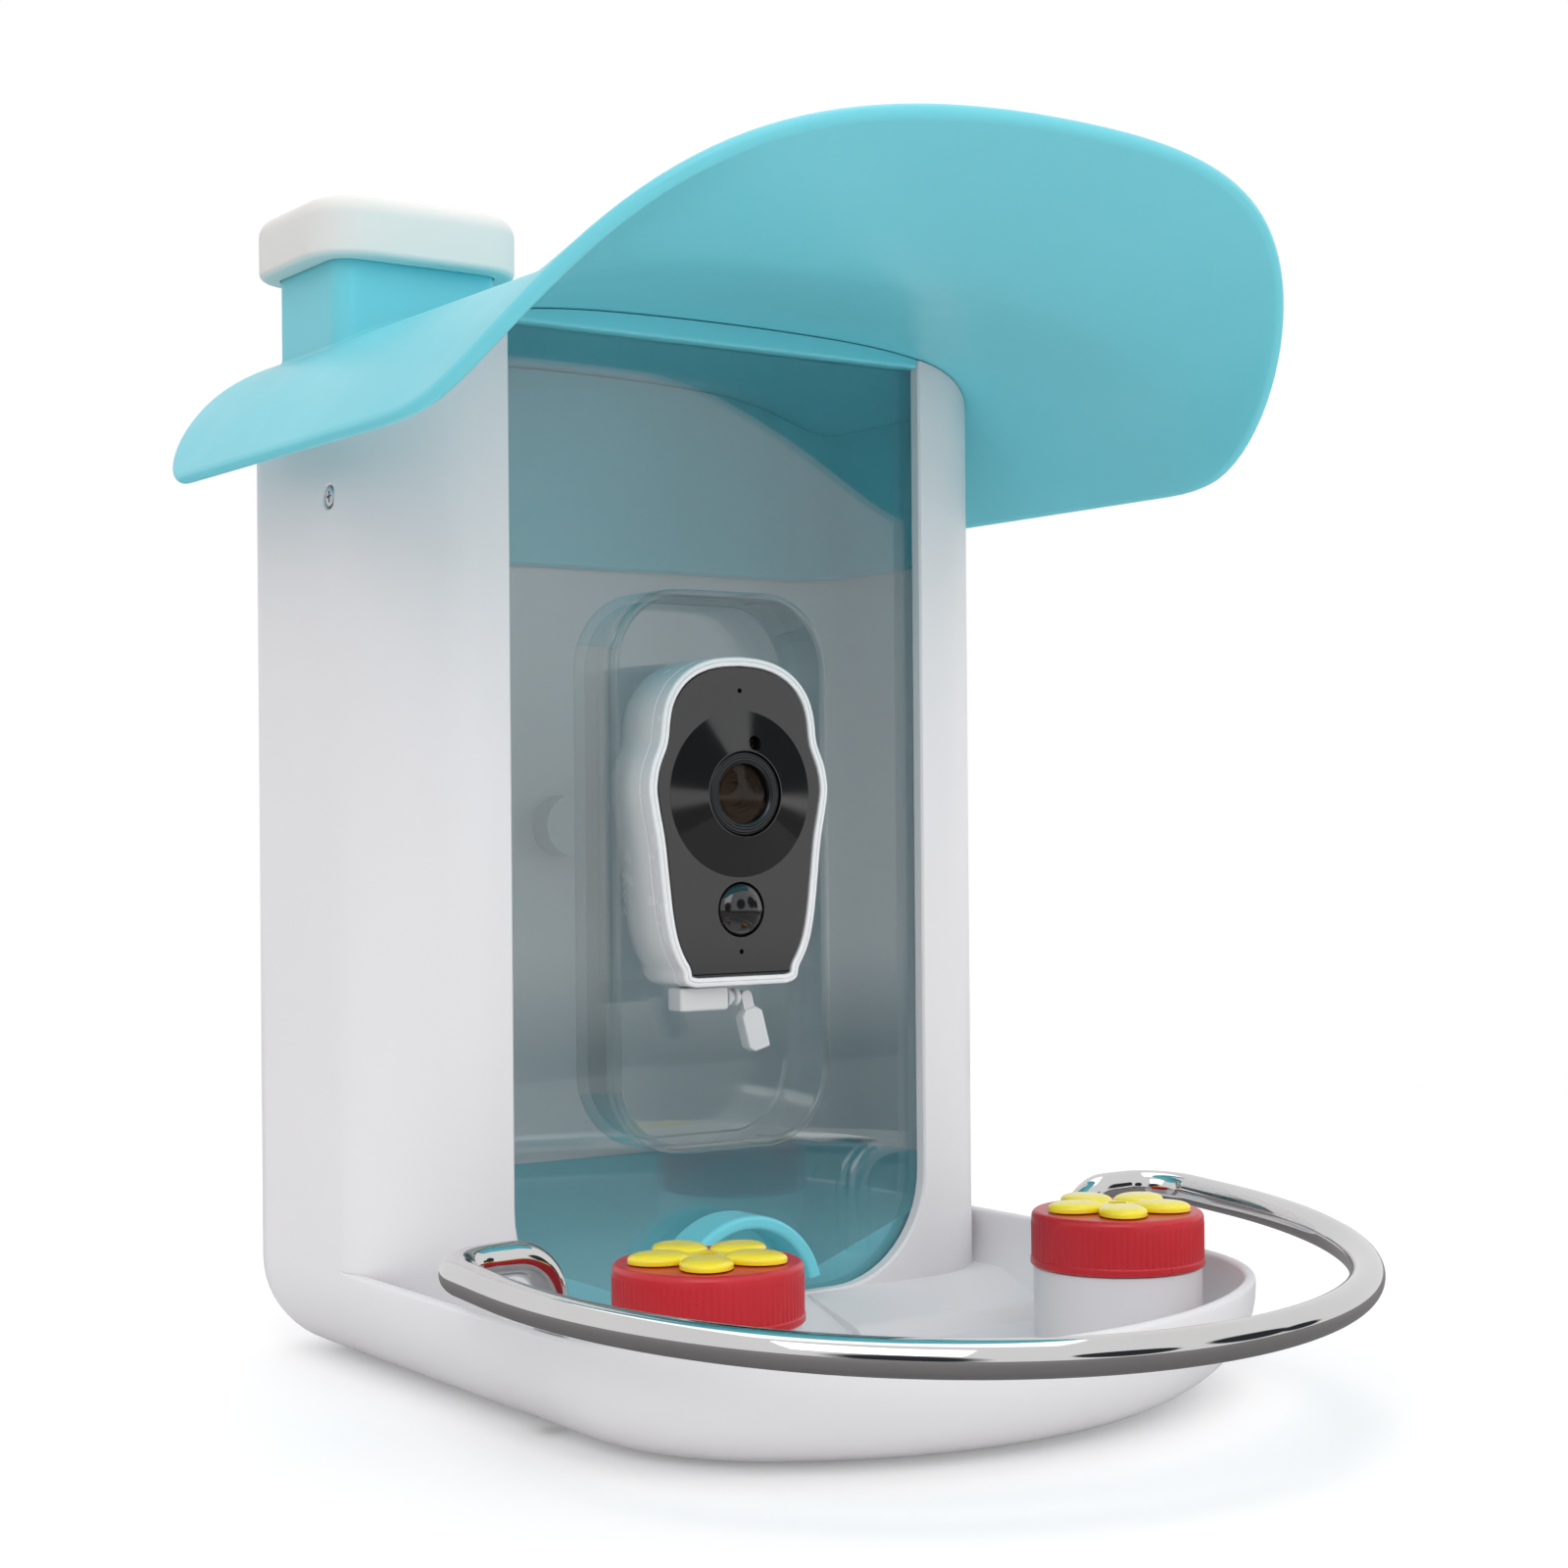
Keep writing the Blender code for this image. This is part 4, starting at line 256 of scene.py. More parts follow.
LENS_Z = (RING_LOW[2] + RING_HIGH[2]) / 2
LENS_RING_RADIUS = (RING_HIGH[0] - RING_LOW[0]) / 2
LENS_GLASS_RADIUS = (GLASS_HIGH[0] - GLASS_LOW[0]) / 2
PIR_Z = (DOME_LOW[2] + DOME_HIGH[2]) / 2
PIR_RADIUS = (DOME_HIGH[0] - DOME_LOW[0]) / 2
LIGHT_SENSOR_X = 0.0032
LIGHT_SENSOR_Z = LENS_Z + 0.0121
LIGHT_SENSOR_RADIUS = 0.00165
MICROPHONE_Z = LENS_Z + 0.0247
STATUS_Z = LENS_Z - 0.0378
SMALL_HOLE_RADIUS = 0.0006
LENS_SINK = 0.0004
RING_ROUND = 0.0006
RING_BACK_RADIUS = 0.0058
RING_GROOVE_SHARES = (0.25, 0.50, 0.75)
GLASS_BACK_RADIUS = 0.0052
GLASS_RISE = 0.0008
GLASS_STEPS = 10
DOME_HEIGHT = 0.0036
DOME_STEPS = 16
DOME_FIRST_STEP = 0.3
# The light window's front: shares of its radius, each with its depth there
SENSOR_STEPS = ((0.4, 0.0), (0.8, LEAST / 4), (1.0, LEAST))
# The lens barrel's stepped front: radii, each with its depth there
BARREL_RADIUS = 0.0054
BARREL_STEPS = (
    (0.0006, 0.0032), (0.0024, 0.0028), (0.0029, 0.0018), (0.0034, 0.0018),
    (0.0038, 0.0009), (0.0042, 0.0009), (0.0046, 0.0), (BARREL_RADIUS, 0.0),
)

# Half widths of the camera's outline as shares of CAMERA_HALF_WIDTH, at shares of its height
CAMERA_OUTLINE_SHARES = [
    (0.50, 0.000), (0.66, 0.055), (0.77, 0.125), (0.832, 0.210), (0.875, 0.320), (0.918, 0.440),
    (0.972, 0.530), (1.000, 0.600), (0.965, 0.670), (0.880, 0.740),
]
CAMERA_HEAD_WIDTH_SHARE = 0.860
CAMERA_HEAD_MIDDLE_SHARE = 0.760
CAMERA_HEAD_POWER = 0.85
CAMERA_HEAD_START = 8
CAMERA_HEAD_TURN = 80
CAMERA_HEAD_STEPS = 9
CAMERA_SPAN_STEPS = 6
CAMERA_ROUND_SHARE = 0.8

# Charging plug, its ribbed tail, and the flap on its strap
PLUG_ROUND = 0.0007
PLUG_TAIL = 0.0048
TAIL_RADIUS = 0.0013
TAIL_FIRST_RIB = 0.0008
TAIL_RIB_COUNT = 2
TAIL_RIB_PITCH = 0.0022
# One rib of the tail: radii, each with how far along the rib it is
TAIL_RIB = (
    (TAIL_RADIUS, 0.0), (0.0019, 0.0001), (0.0021, 0.0003), (0.0021, 0.0011), (0.0019, 0.0013),
    (TAIL_RADIUS, 0.0014),
)
STRAP_RADIUS = 0.0015
STRAP_LENGTH = 0.0044
STRAP_THICKNESS = 0.0019
FLAP_TOP = -0.0030
FLAP_LOW = -0.0135
FLAP_HALF_WIDTH = 0.0030
FLAP_NICK = 0.0014
FLAP_ROUND = 0.0005
FLAP_TILT = -math.radians(15)

# Mount insert
INSERT_BORE_RADIUS = 0.0026
INSERT_GROOVES = 8

# Looks that several materials share
WHITE = (1.0, 1.0, 1.0)
NOISE_RANGE = (0.3, 0.7)
# Scale and detail of the noise in the colour and in the gloss, and the spread of the roughness
MOULDED_FINISH = {"drift": (14.0, 3.0), "gloss": (60.0, 4.0), "spread": (0.88, 1.12)}
CLEAR_FINISH = {"drift": (9.0, 2.0), "gloss": (40.0, 3.0), "spread": (0.7, 1.3)}
METAL_FINISH = {"drift": (30.0, 3.0), "gloss": (220.0, 4.0), "spread": (0.7, 1.4)}
# Scale and detail of the noise in the bumps
SKIN_NOISE = (2600.0, 3.0)
WAVE_NOISE = (35.0, 1.0)
CLEAR_NOISE = (22.0, 1.0)
METAL_NOISE = (900.0, 2.0)
SHEET_WAVES = 0.00004
GLASS_WAVES = 0.00006
SKIN_DEPTH = 0.004
COAT_ROUGHNESS = 0.12
SHEET_EDGE_BLEND = 0.25
SHEET_FACING = (0.13, 0.80)
SHEET_GLOSS_SHARES = (0.095, 0.95)

# The photograph's camera
VIEW_PLACE = (-0.34644, -0.51526, 0.12832)
VIEW_HEADING = math.radians(35.14944)
VIEW_ROLL = math.radians(-0.46591)
VIEW_SENSOR_WIDTH = 36.0
VIEW_LENS = 59.0785
VIEW_SHIFT = 0.02463
VIEW_NEAREST = 0.01

# Floor and lights. Each light has its place, what it faces, its side, its power, and whether
# reflections show it.
FLOOR_HALF_WIDTH = 0.6
FLOOR_COLOUR = (0.93, 0.93, 0.93)
FLOOR_REFLECTED = (0.16, 0.15, 0.15)
FLOOR_ROUGHNESS = 0.6
FLOOR_GLOW = 0.12
FEEDER_MIDDLE = (0.0, -0.02, 0.13)
TRAY_MIDDLE = (0.0, -0.08, 0.03)
LIGHTS = {
    "key": ((-0.9, -1.1, 1.3), FEEDER_MIDDLE, 1.2, 7.1, True),
    "fill": ((1.0, -1.3, 0.5), FEEDER_MIDDLE, 1.2, 6.7, False),
    "low_front": ((-0.25, -1.5, 0.45), TRAY_MIDDLE, 0.7, 1.9, False),
    "top": ((0.1, 0.2, 1.6), FEEDER_MIDDLE, 1.4, 4.4, True),
}

# What reflections show round the feeder: dark below the horizon, pale above it, and dark patches,
# each with its direction and the cosines where it starts and where it is full
HORIZON_STOPS = ((0.455, (0.10, 0.09, 0.09)), (0.475, (0.84, 0.84, 0.85)))
PATCH_COLOUR = (0.03, 0.035, 0.04)
DARK_PATCHES = (
    ((0.7427, -0.6323, 0.2208), 0.972, 0.982),
    ((0.9000, -0.4190, 0.1200), 0.988, 0.994),
    ((0.2606, -0.9422, 0.2105), 0.972, 0.978),
    ((-0.5716, -0.8119, 0.1190), 0.940, 0.975),
)


# Mesh helpers
def loft(rings, closed=False):
    """A solid through rings of points: capped at both ends, or closed round on itself."""
    mesh = bmesh.new()
    loops = [[mesh.verts.new(point) for point in ring] for ring in rings]
    pairs = list(zip(loops, loops[1:]))
    if closed:
        pairs.append((loops[-1], loops[0]))
    for low, high in pairs:
        for i in range(len(low)):
            j = (i + 1) % len(low)
            mesh.faces.new((low[i], low[j], high[j], high[i]))
    if not closed:
        mesh.faces.new(list(reversed(loops[0])))
        mesh.faces.new(loops[-1])
    bmesh.ops.recalc_face_normals(mesh, faces=mesh.faces)
    return mesh


def at_height(outline, z):
    return [Vector((x, y, z)) for x, y in outline]


def at_depth(outline, y):
    return [Vector((x, y, z)) for x, z in outline]


def prism_z(outline, low, high):
    return loft([at_height(outline, low), at_height(outline, high)])


def prism_y(outline, front, back):
    return loft([at_depth(outline, front), at_depth(outline, back)])


def prism_x(outline, left, right):
    """A solid along X from an outline of (y, z) points."""
    return loft([[Vector((x, y, z)) for y, z in outline] for x in (left, right)])


def circle(x, y, radius, segments):
    steps = [2 * math.pi * i / segments for i in range(segments)]
    return [(x + radius * math.cos(a), y + radius * math.sin(a)) for a in steps]


def cylinder_z(x, y, radius, low, high, segments=SMALL_ROUND):
    return prism_z(circle(x, y, radius, segments), low, high)


def cylinder_y(x, z, radius, front, back, segments=SMALL_ROUND):
    return prism_y(circle(x, z, radius, segments), front, back)


def turned(profile, segments=ROUND, closed=False):
    """A solid turned about Z from (radius, height) points."""
    return loft([at_height(circle(0, 0, max(r, LEAST / 4), segments), z) for r, z in profile], closed)


def facing_front(profile, x, z, segments=ROUND, closed=False):
    """A turned solid on an axis along Y: the profile's heights are world Y."""
    mesh = turned([(r, -y) for r, y in profile], segments, closed)
    return moved(mesh, Matrix.Translation((x, 0.0, z)) @ Matrix.Rotation(math.pi / 2, 4, "X"))


def arc(cx, cy, radius, start, end, steps):
    """Points of an arc with the outward normal of each, angles in degrees."""
    points = []
    for i in range(steps + 1):
        a = math.radians(start + (end - start) * i / steps)
        nx, ny = math.cos(a), math.sin(a)
        points.append((cx + radius * nx, cy + radius * ny, nx, ny))
    return points


def rounded_rectangle(cx, cy, half_x, half_y, radius, steps=CORNER):
    radius = max(min(radius, half_x - LEAST, half_y - LEAST), LEAST)
    outline = []
    for sx, sy, start in ((1, -1, -90), (1, 1, 0), (-1, 1, 90), (-1, -1, 180)):
        turn = arc(cx + sx * (half_x - radius), cy + sy * (half_y - radius), radius, start,
                   start + 90, steps)
        outline += [(x, y) for x, y, _, _ in turn]
    return outline


def quarter(radius, steps=EDGE):
    """A quarter round as (drawn in, short of the end) pairs, from its foot to its top."""
    angles = [math.pi / 2 * i / steps for i in range(steps + 1)]
    return [(radius * (1 - math.cos(a)), radius * (1 - math.sin(a))) for a in angles]


def round_start(radius, place, steps=EDGE):
    """The (drawn in, place) levels of the round edge where an extent starts."""
    return [(drawn_in, place + short) for drawn_in, short in reversed(quarter(radius, steps))]


def round_end(radius, place, steps=EDGE):
    """The (drawn in, place) levels of the round edge where an extent ends."""
    return [(drawn_in, place - short) for drawn_in, short in quarter(radius, steps)]


def smooth_closed(points, steps):
    """A closed curve through the points, with each span divided in steps."""
    count = len(points)
    curve = []
    for i in range(count):
        p0, p1, p2, p3 = (Vector(points[(i + k) % count]) for k in (-1, 0, 1, 2))
        for step in range(steps):
            t = step / steps
            twice = (2 * p1 + (p2 - p0) * t + (2 * p0 - 5 * p1 + 4 * p2 - p3) * t ** 2
                     + (3 * p1 - p0 - 3 * p2 + p3) * t ** 3)
            curve.append(tuple(twice / 2))
    return curve


def inset(outline, distance):
    """The outline moved inwards by a distance. It runs anticlockwise."""
    moved_points = []
    count = len(outline)
    for i in range(count):
        before, here, after = (Vector(outline[(i + k) % count]) for k in (-1, 0, 1))
        first = (here - before).normalized()
        second = (after - here).normalized()
        normal = Vector((-(first.y + second.y), first.x + second.x)).normalized()
        share = max(normal.dot(Vector((-first.y, first.x))), 0.5)
        moved_points.append(tuple(here + normal * distance / share))
    return moved_points


def joined(base, tool, operation):
    """The base mesh after one exact Boolean with the tool mesh."""
    objects = []
    for mesh in (base, tool):
        data = bpy.data.meshes.new("working")
        mesh.to_mesh(data)
        mesh.free()
        made = bpy.data.objects.new("working", data)
        bpy.context.collection.objects.link(made)
        objects.append(made)
    modifier = objects[0].modifiers.new("boolean", "BOOLEAN")
    modifier.operation = operation
    modifier.solver = "EXACT"
    modifier.object = objects[1]
    evaluated = objects[0].evaluated_get(bpy.context.evaluated_depsgraph_get())
    result = bmesh.new()
    result.from_mesh(evaluated.to_mesh())
    evaluated.to_mesh_clear()
    for made in objects:
        data = made.data
        bpy.data.objects.remove(made, do_unlink=True)
        bpy.data.meshes.remove(data)
    bmesh.ops.dissolve_degenerate(result, dist=MERGE_DISTANCE, edges=result.edges)
    return result


def add(base, *tools):
    for tool in tools:
        base = joined(base, tool, "UNION")
    return base


def cut(base, *tools):
    for tool in tools:
        base = joined(base, tool, "DIFFERENCE")
    return base


def moved(mesh, matrix):
    bmesh.ops.transform(mesh, matrix=matrix, verts=mesh.verts)
    return mesh


def shifted(mesh, x, y, z):
    return moved(mesh, Matrix.Translation((x, y, z)))


def middle(corners):
    """The middle of a box that is given by its lowest and highest corners."""
    low, high = corners
    return [(low[k] + high[k]) / 2 for k in range(3)]


def piece(name, mesh, finish, body, *nodes):
    """A shown piece in world coordinates, in the place of its CAD nodes."""
    data = bpy.data.meshes.new(name)
    mesh.to_mesh(data)
    mesh.free()
    data.shade_smooth()
    data.set_sharp_from_angle(angle=SMOOTH_ANGLE)
    made = bpy.data.objects.new(name, data)
    made.data.materials.append(MATERIALS[finish])
    bpy.context.collection.objects.link(made)
    even = made.modifiers.new("even_shading", "WEIGHTED_NORMAL")
    even.keep_sharp = True
    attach(made, body)
    if nodes:
        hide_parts(*nodes)


# Materials
def scaled(colour, share):
    return tuple(part * share for part in colour)


def ranged(tree, value, start, end, low=0.0, high=1.0):
    """A node that takes a value from one range to another, held at the ends."""
    made = tree.nodes.new("ShaderNodeMapRange")
    for name, end_value in (("From Min", start), ("From Max", end), ("To Min", low), ("To Max", high)):
        made.inputs[name].default_value = end_value
    tree.links.new(value, made.inputs["Value"])
    return made.outputs["Result"]


def colour_mix(tree, share, first, second):
    """A node that mixes two colours, each a tuple or another node's output."""
    made = tree.nodes.new("ShaderNodeMix")
    made.data_type = "RGBA"
    tree.links.new(share, made.inputs[0])
    sockets = [socket for socket in made.inputs if socket.type == "RGBA"]
    for socket, colour in zip(sockets, (first, second)):
        if isinstance(colour, tuple):
            socket.default_value = (*colour, 1.0)
        else:
            tree.links.new(colour, socket)
    return [socket for socket in made.outputs if socket.type == "RGBA"][0]


class Nodes:
    """A small builder of node trees round one Principled shader."""

    def __init__(self, name):
        self.material = bpy.data.materials.new(name)
        self.material.use_nodes = True
        self.tree = self.material.node_tree
        self.shader = self.tree.nodes["Principled BSDF"]
        self.place = self.tree.nodes.new("ShaderNodeTexCoord").outputs["Object"]

    def link(self, output, target):
        self.tree.links.new(output, target)

    def set(self, **values):
        for key, value in values.items():
            self.shader.inputs[key.replace("_", " ")].default_value = value

    def noise(self, scale, detail):
        made = self.tree.nodes.new("ShaderNodeTexNoise")
        made.inputs["Scale"].default_value = scale
        made.inputs["Detail"].default_value = detail
        self.link(self.place, made.inputs["Vector"])
        return made.outputs["Fac"]

    def bump(self, value, distance, after=None):
        made = self.tree.nodes.new("ShaderNodeBump")
        made.inputs["Distance"].default_value = distance
        self.link(value, made.inputs["Height"])
        if after:
            self.link(after, made.inputs["Normal"])
        return made.outputs["Normal"]

    def finish(self, colours, roughness, drift, gloss, spread, target=None):
        """A colour that drifts between two, and a roughness that varies over a spread."""
        shade = colour_mix(self.tree, ranged(self.tree, self.noise(*drift), *NOISE_RANGE), *colours)
        if target is None:
            target = self.shader.inputs["Base Color"]
        self.link(shade, target)
        low, high = (roughness * share for share in spread)
        varied = ranged(self.tree, self.noise(*gloss), *NOISE_RANGE, low, high)
        self.link(varied, self.shader.inputs["Roughness"])


def moulded(name, colour, shade, roughness, grain, skin=0.0, coat=0.0):
    """Moulded plastic: a colour that drifts a little, a fine skin and uneven gloss."""
    made = Nodes(name)
    made.finish((colour, shade), roughness, **MOULDED_FINISH)
    fine = made.bump(made.noise(*SKIN_NOISE), grain)
    waves = made.bump(made.noise(*WAVE_NOISE), grain * 3, fine)
    made.link(waves, made.shader.inputs["Normal"])
    made.set(Subsurface_Weight=skin, Subsurface_Scale=SKIN_DEPTH)
    made.set(Coat_Weight=coat, Coat_Roughness=COAT_ROUGHNESS)
    made.shader.inputs["Subsurface Radius"].default_value = WHITE
    return made.material


def thin_sheet(name, tint, gleam, roughness):
    """A thin clear moulding: tinted where it is looked through, brighter and glossy at its edges."""
    made = Nodes(name)
    through = made.tree.nodes.new("ShaderNodeBsdfTransparent")
    made.finish((tint, scaled(tint, 0.97)), roughness, target=through.inputs["Color"], **CLEAR_FINISH)
    made.shader.inputs["Base Color"].default_value = (*gleam, 1.0)
    made.link(made.bump(made.noise(*CLEAR_NOISE), SHEET_WAVES), made.shader.inputs["Normal"])
    edge = made.tree.nodes.new("ShaderNodeLayerWeight")
    edge.inputs["Blend"].default_value = SHEET_EDGE_BLEND
    both = made.tree.nodes.new("ShaderNodeMixShader")
    made.link(ranged(made.tree, edge.outputs["Facing"], *SHEET_FACING, *SHEET_GLOSS_SHARES), both.inputs[0])
    made.link(through.outputs["BSDF"], both.inputs[1])
    made.link(made.shader.outputs["BSDF"], both.inputs[2])
    made.link(both.outputs["Shader"], made.tree.nodes["Material Output"].inputs["Surface"])
    made.set(Metallic=1.0)
    return made.material


def clear(name, tint, roughness, ior):
    """Solid glass with a faintly uneven surface."""
    made = Nodes(name)
    made.finish((tint, scaled(tint, 0.96)), roughness, **CLEAR_FINISH)
    made.link(made.bump(made.noise(*CLEAR_NOISE), GLASS_WAVES), made.shader.inputs["Normal"])
    made.set(Transmission_Weight=1.0, IOR=ior)
    return made.material


def metal(name, colour, roughness, grain):
    """Bare metal with fine uneven polish."""
    made = Nodes(name)
    made.finish((colour, scaled(colour, 0.94)), roughness, **METAL_FINISH)
    made.link(made.bump(made.noise(*METAL_NOISE), grain), made.shader.inputs["Normal"])
    made.set(Metallic=1.0)
    return made.material


# The moulded plastics: two colours, roughness, grain, how much light enters, and clear coat
MOULDED = {
    "housing_white": ((0.78, 0.765, 0.78), (0.77, 0.755, 0.77), 0.36, 0.0000012, 0.12),
    "roof_teal": ((0.182, 0.675, 0.77), (0.176, 0.655, 0.75), 0.34, 0.0000012, 0.16),
    "cap_white": ((0.81, 0.80, 0.77), (0.795, 0.785, 0.755), 0.62, 0.000012, 0.10),
    "lid_red": ((0.57, 0.016, 0.027), (0.54, 0.014, 0.023), 0.30, 0.000004, 0.05),
    "petal_yellow": ((0.98, 0.80, 0.020), (0.96, 0.77, 0.018), 0.22, 0.000003, 0.10, 0.4),
    "camera_white": ((0.86, 0.86, 0.87), (0.85, 0.85, 0.86), 0.26, 0.000003, 0.08),
    "camera_black": ((0.010, 0.010, 0.0105), (0.009, 0.009, 0.0095), 0.05, 0.0000004, 0.0, 0.9),
    "dark_plastic": ((0.020, 0.021, 0.024), (0.017, 0.018, 0.020), 0.24, 0.000004),
    "rubber_white": ((0.66, 0.675, 0.685), (0.64, 0.655, 0.665), 0.52, 0.000008, 0.10),
    "seal_clear": ((0.66, 0.70, 0.70), (0.63, 0.67, 0.67), 0.45, 0.000005, 0.20),
    "circuit_green": ((0.02, 0.16, 0.06), (0.015, 0.14, 0.05), 0.40, 0.000010),
    "battery_wrap": ((0.10, 0.12, 0.35), (0.09, 0.11, 0.32), 0.38, 0.000006),
}

# The bare metals: colour, roughness and grain
METALS = {
    "chrome": ((0.74, 0.73, 0.72), 0.045, 0.0000012),
    "steel": ((0.60, 0.60, 0.62), 0.28, 0.000006),
    "brass": ((0.75, 0.55, 0.24), 0.26, 0.000006),
}

MATERIALS = {name: moulded(name, *look) for name, look in MOULDED.items()}
MATERIALS.update((name, metal(name, *look)) for name, look in METALS.items())
MATERIALS["clear_panel"] = thin_sheet("clear_panel", (0.955, 0.985, 0.988), (0.90, 0.88, 0.87), 0.03)
MATERIALS["lens_glass"] = clear("lens_glass", (0.33, 0.24, 0.165), 0.02, 1.33)


# Outlines that several pieces share
def roof_under(x, y):
    """Height of the roof's underside: a low crown with drooping sides, and a visor that rises."""
    share = min(abs(x) / ROOF_HALF_WIDTH, 1.0)
    droop = (1 - ROOF_CROWN_SHARE) * share ** ROOF_SHOULDER_POWER + ROOF_CROWN_SHARE * share ** 2
    ahead = max(-VISOR_LIFT_START - y, 0.0)
    lift = VISOR_SLOPE * ahead ** 2 / (ahead + VISOR_LIFT_EASE)
    return ROOF_UNDER_HEIGHT - ROOF_DROP * droop + lift


def roof_columns():
    steps = range(-ROOF_COLUMNS, ROOF_COLUMNS + 1)
    return [ROOF_HALF_WIDTH * math.sin(math.pi / 2 * i / ROOF_COLUMNS) for i in steps]


def above_roof_underside(clearance):
    """A cutter that holds all that lies above the roof's underside, less a clearance."""
    columns = roof_columns()
    low = [(x, roof_under(x, 0.0) - clearance) for x in columns]
    top = ROOF_UNDER_HEIGHT + ROOF_DROP
    reach = ROOF_HALF_WIDTH + OVERRUN
    profile = [(-reach, low[0][1])] + low + [(reach, low[-1][1]), (reach, top), (-reach, top)]
    return prism_y(profile, -VISOR_LIFT_START + OVERRUN, COLUMN_DEPTH + OVERRUN)


def rear_corners(distance=0.0):
    """Right rear corner, then left rear corner, of the column and the tray alike, inset."""
    radius = max(REAR_CORNER_RADIUS - distance, LEAST_CORNER_RADIUS)
    reach = HALF_WIDTH - distance - radius
    centre_y = COLUMN_DEPTH - distance - radius
    points = arc(reach, centre_y, radius, 0, 90, CORNER)
    points += arc(-reach, centre_y, radius, 90, 180, CORNER)
    return [(x, y) for x, y, _, _ in points]


def tray_front():
    """The tray's front from the column's left side to its right side."""
    corner = TRAY_CORNER_RADIUS
    side = HALF_WIDTH - corner
    front_centre = TRAY_FRONT_RADIUS - TRAY_FRONT
    reach = TRAY_FRONT_RADIUS - corner
    corner_y = front_centre - math.sqrt(max(reach ** 2 - side ** 2, 0.0))
    turn = math.degrees(math.atan2(side, front_centre - corner_y))
    left = arc(-side, corner_y, corner, 180, 270 - turn, CORNER)
    front = arc(0.0, front_centre, TRAY_FRONT_RADIUS, 270 - turn, 270 + turn, TRAY_ARC_STEPS)
    right = arc(side, corner_y, corner, 270 + turn, 360, CORNER)
    stations = [FRONT_CORNER_RADIUS - step for step in [0.0] + SIDE_STATIONS]
    first = [(-HALF_WIDTH, y, -1.0, 0.0) for y in stations]
    last = [(HALF_WIDTH, y, 1.0, 0.0) for y in reversed(stations)]
    return first + left + front[1:-1] + right + last


def column_front():
    """The column's front from its left to its right side, with as many points as the tray's."""
    radius = FRONT_CORNER_RADIUS
    left = arc(radius - HALF_WIDTH, radius, radius, 180, 270, CORNER)
    right = arc(HALF_WIDTH - radius, radius, radius, 270, 360, CORNER)
    flat_steps = len(tray_front()) - 2 * (CORNER + 1) + 1
    reach = HALF_WIDTH - radius
    flat = [(-reach + 2 * reach * i / flat_steps, 0.0, 0.0, -1.0) for i in range(1, flat_steps)]
    return left + flat + right


def inwards(points, distance):
    return [(x - nx * distance, y - ny * distance) for x, y, nx, ny in points]


def column_outline(distance=0.0):
    return inwards(column_front(), distance) + rear_corners(distance)


def base_outline(distance=0.0):
    return inwards(tray_front(), distance) + rear_corners(distance)


def rim_outline(distance):
    """The tray's outline with its front drawn in by a rounding that fades out at the column."""
    front = []
    for x, y, nx, ny in tray_front():
        fade = min(max((FRONT_CORNER_RADIUS - y) / RIM_FADE, 0.0), 1.0)
        front.append((x - nx * distance * fade, y - ny * distance * fade))
    return front + rear_corners()


def window_outline(half_width, bottom, top, radius):
    """Straight sides and top, round lower corners, as (x, z) points."""
    left = arc(radius - half_width, bottom + radius, radius, 180, 270, CORNER)
    right = arc(half_width - radius, bottom + radius, radius, 270, 360, CORNER)
    return [(x, z) for x, z, _, _ in left + right] + [(half_width, top), (-half_width, top)]


def foot_levels():
    """Heights of the hull's rounded foot, each with how far it is drawn in there."""
    angles = [math.pi / 2 * i / FOOT_STEPS for i in range(FOOT_STEPS + 1)]
    return [(FOOT_ROUND_HEIGHT * (1 - math.cos(a)), FOOT_ROUND_WIDTH * (1 - math.sin(a)))
            for a in angles]


def inner_levels(bottom, top):
    """The foot's levels from a bottom that lies between them up to a top."""
    levels = foot_levels()
    kept = []
    for (low, low_inset), (high, high_inset) in zip(levels, levels[1:]):
        if low <= bottom < high:
            share = (bottom - low) / (high - low)
            kept.append((bottom, low_inset + (high_inset - low_inset) * share))
        if bottom < high < top:
            kept.append((high, high_inset))
    return (kept or [(bottom, 0.0)]) + [(top, 0.0)]


def hollow(distance, bottom, top):
    """A solid inset in the column, drawn in over the foot's back and sides but not at its front."""
    rings = []
    for z, drawn_in in inner_levels(bottom, top):
        front = [(x - nx * (distance + drawn_in), y - ny * distance)
                 for x, y, nx, ny in column_front()]
        rings.append(at_height(front + rear_corners(distance + drawn_in), z))
    return loft(rings)


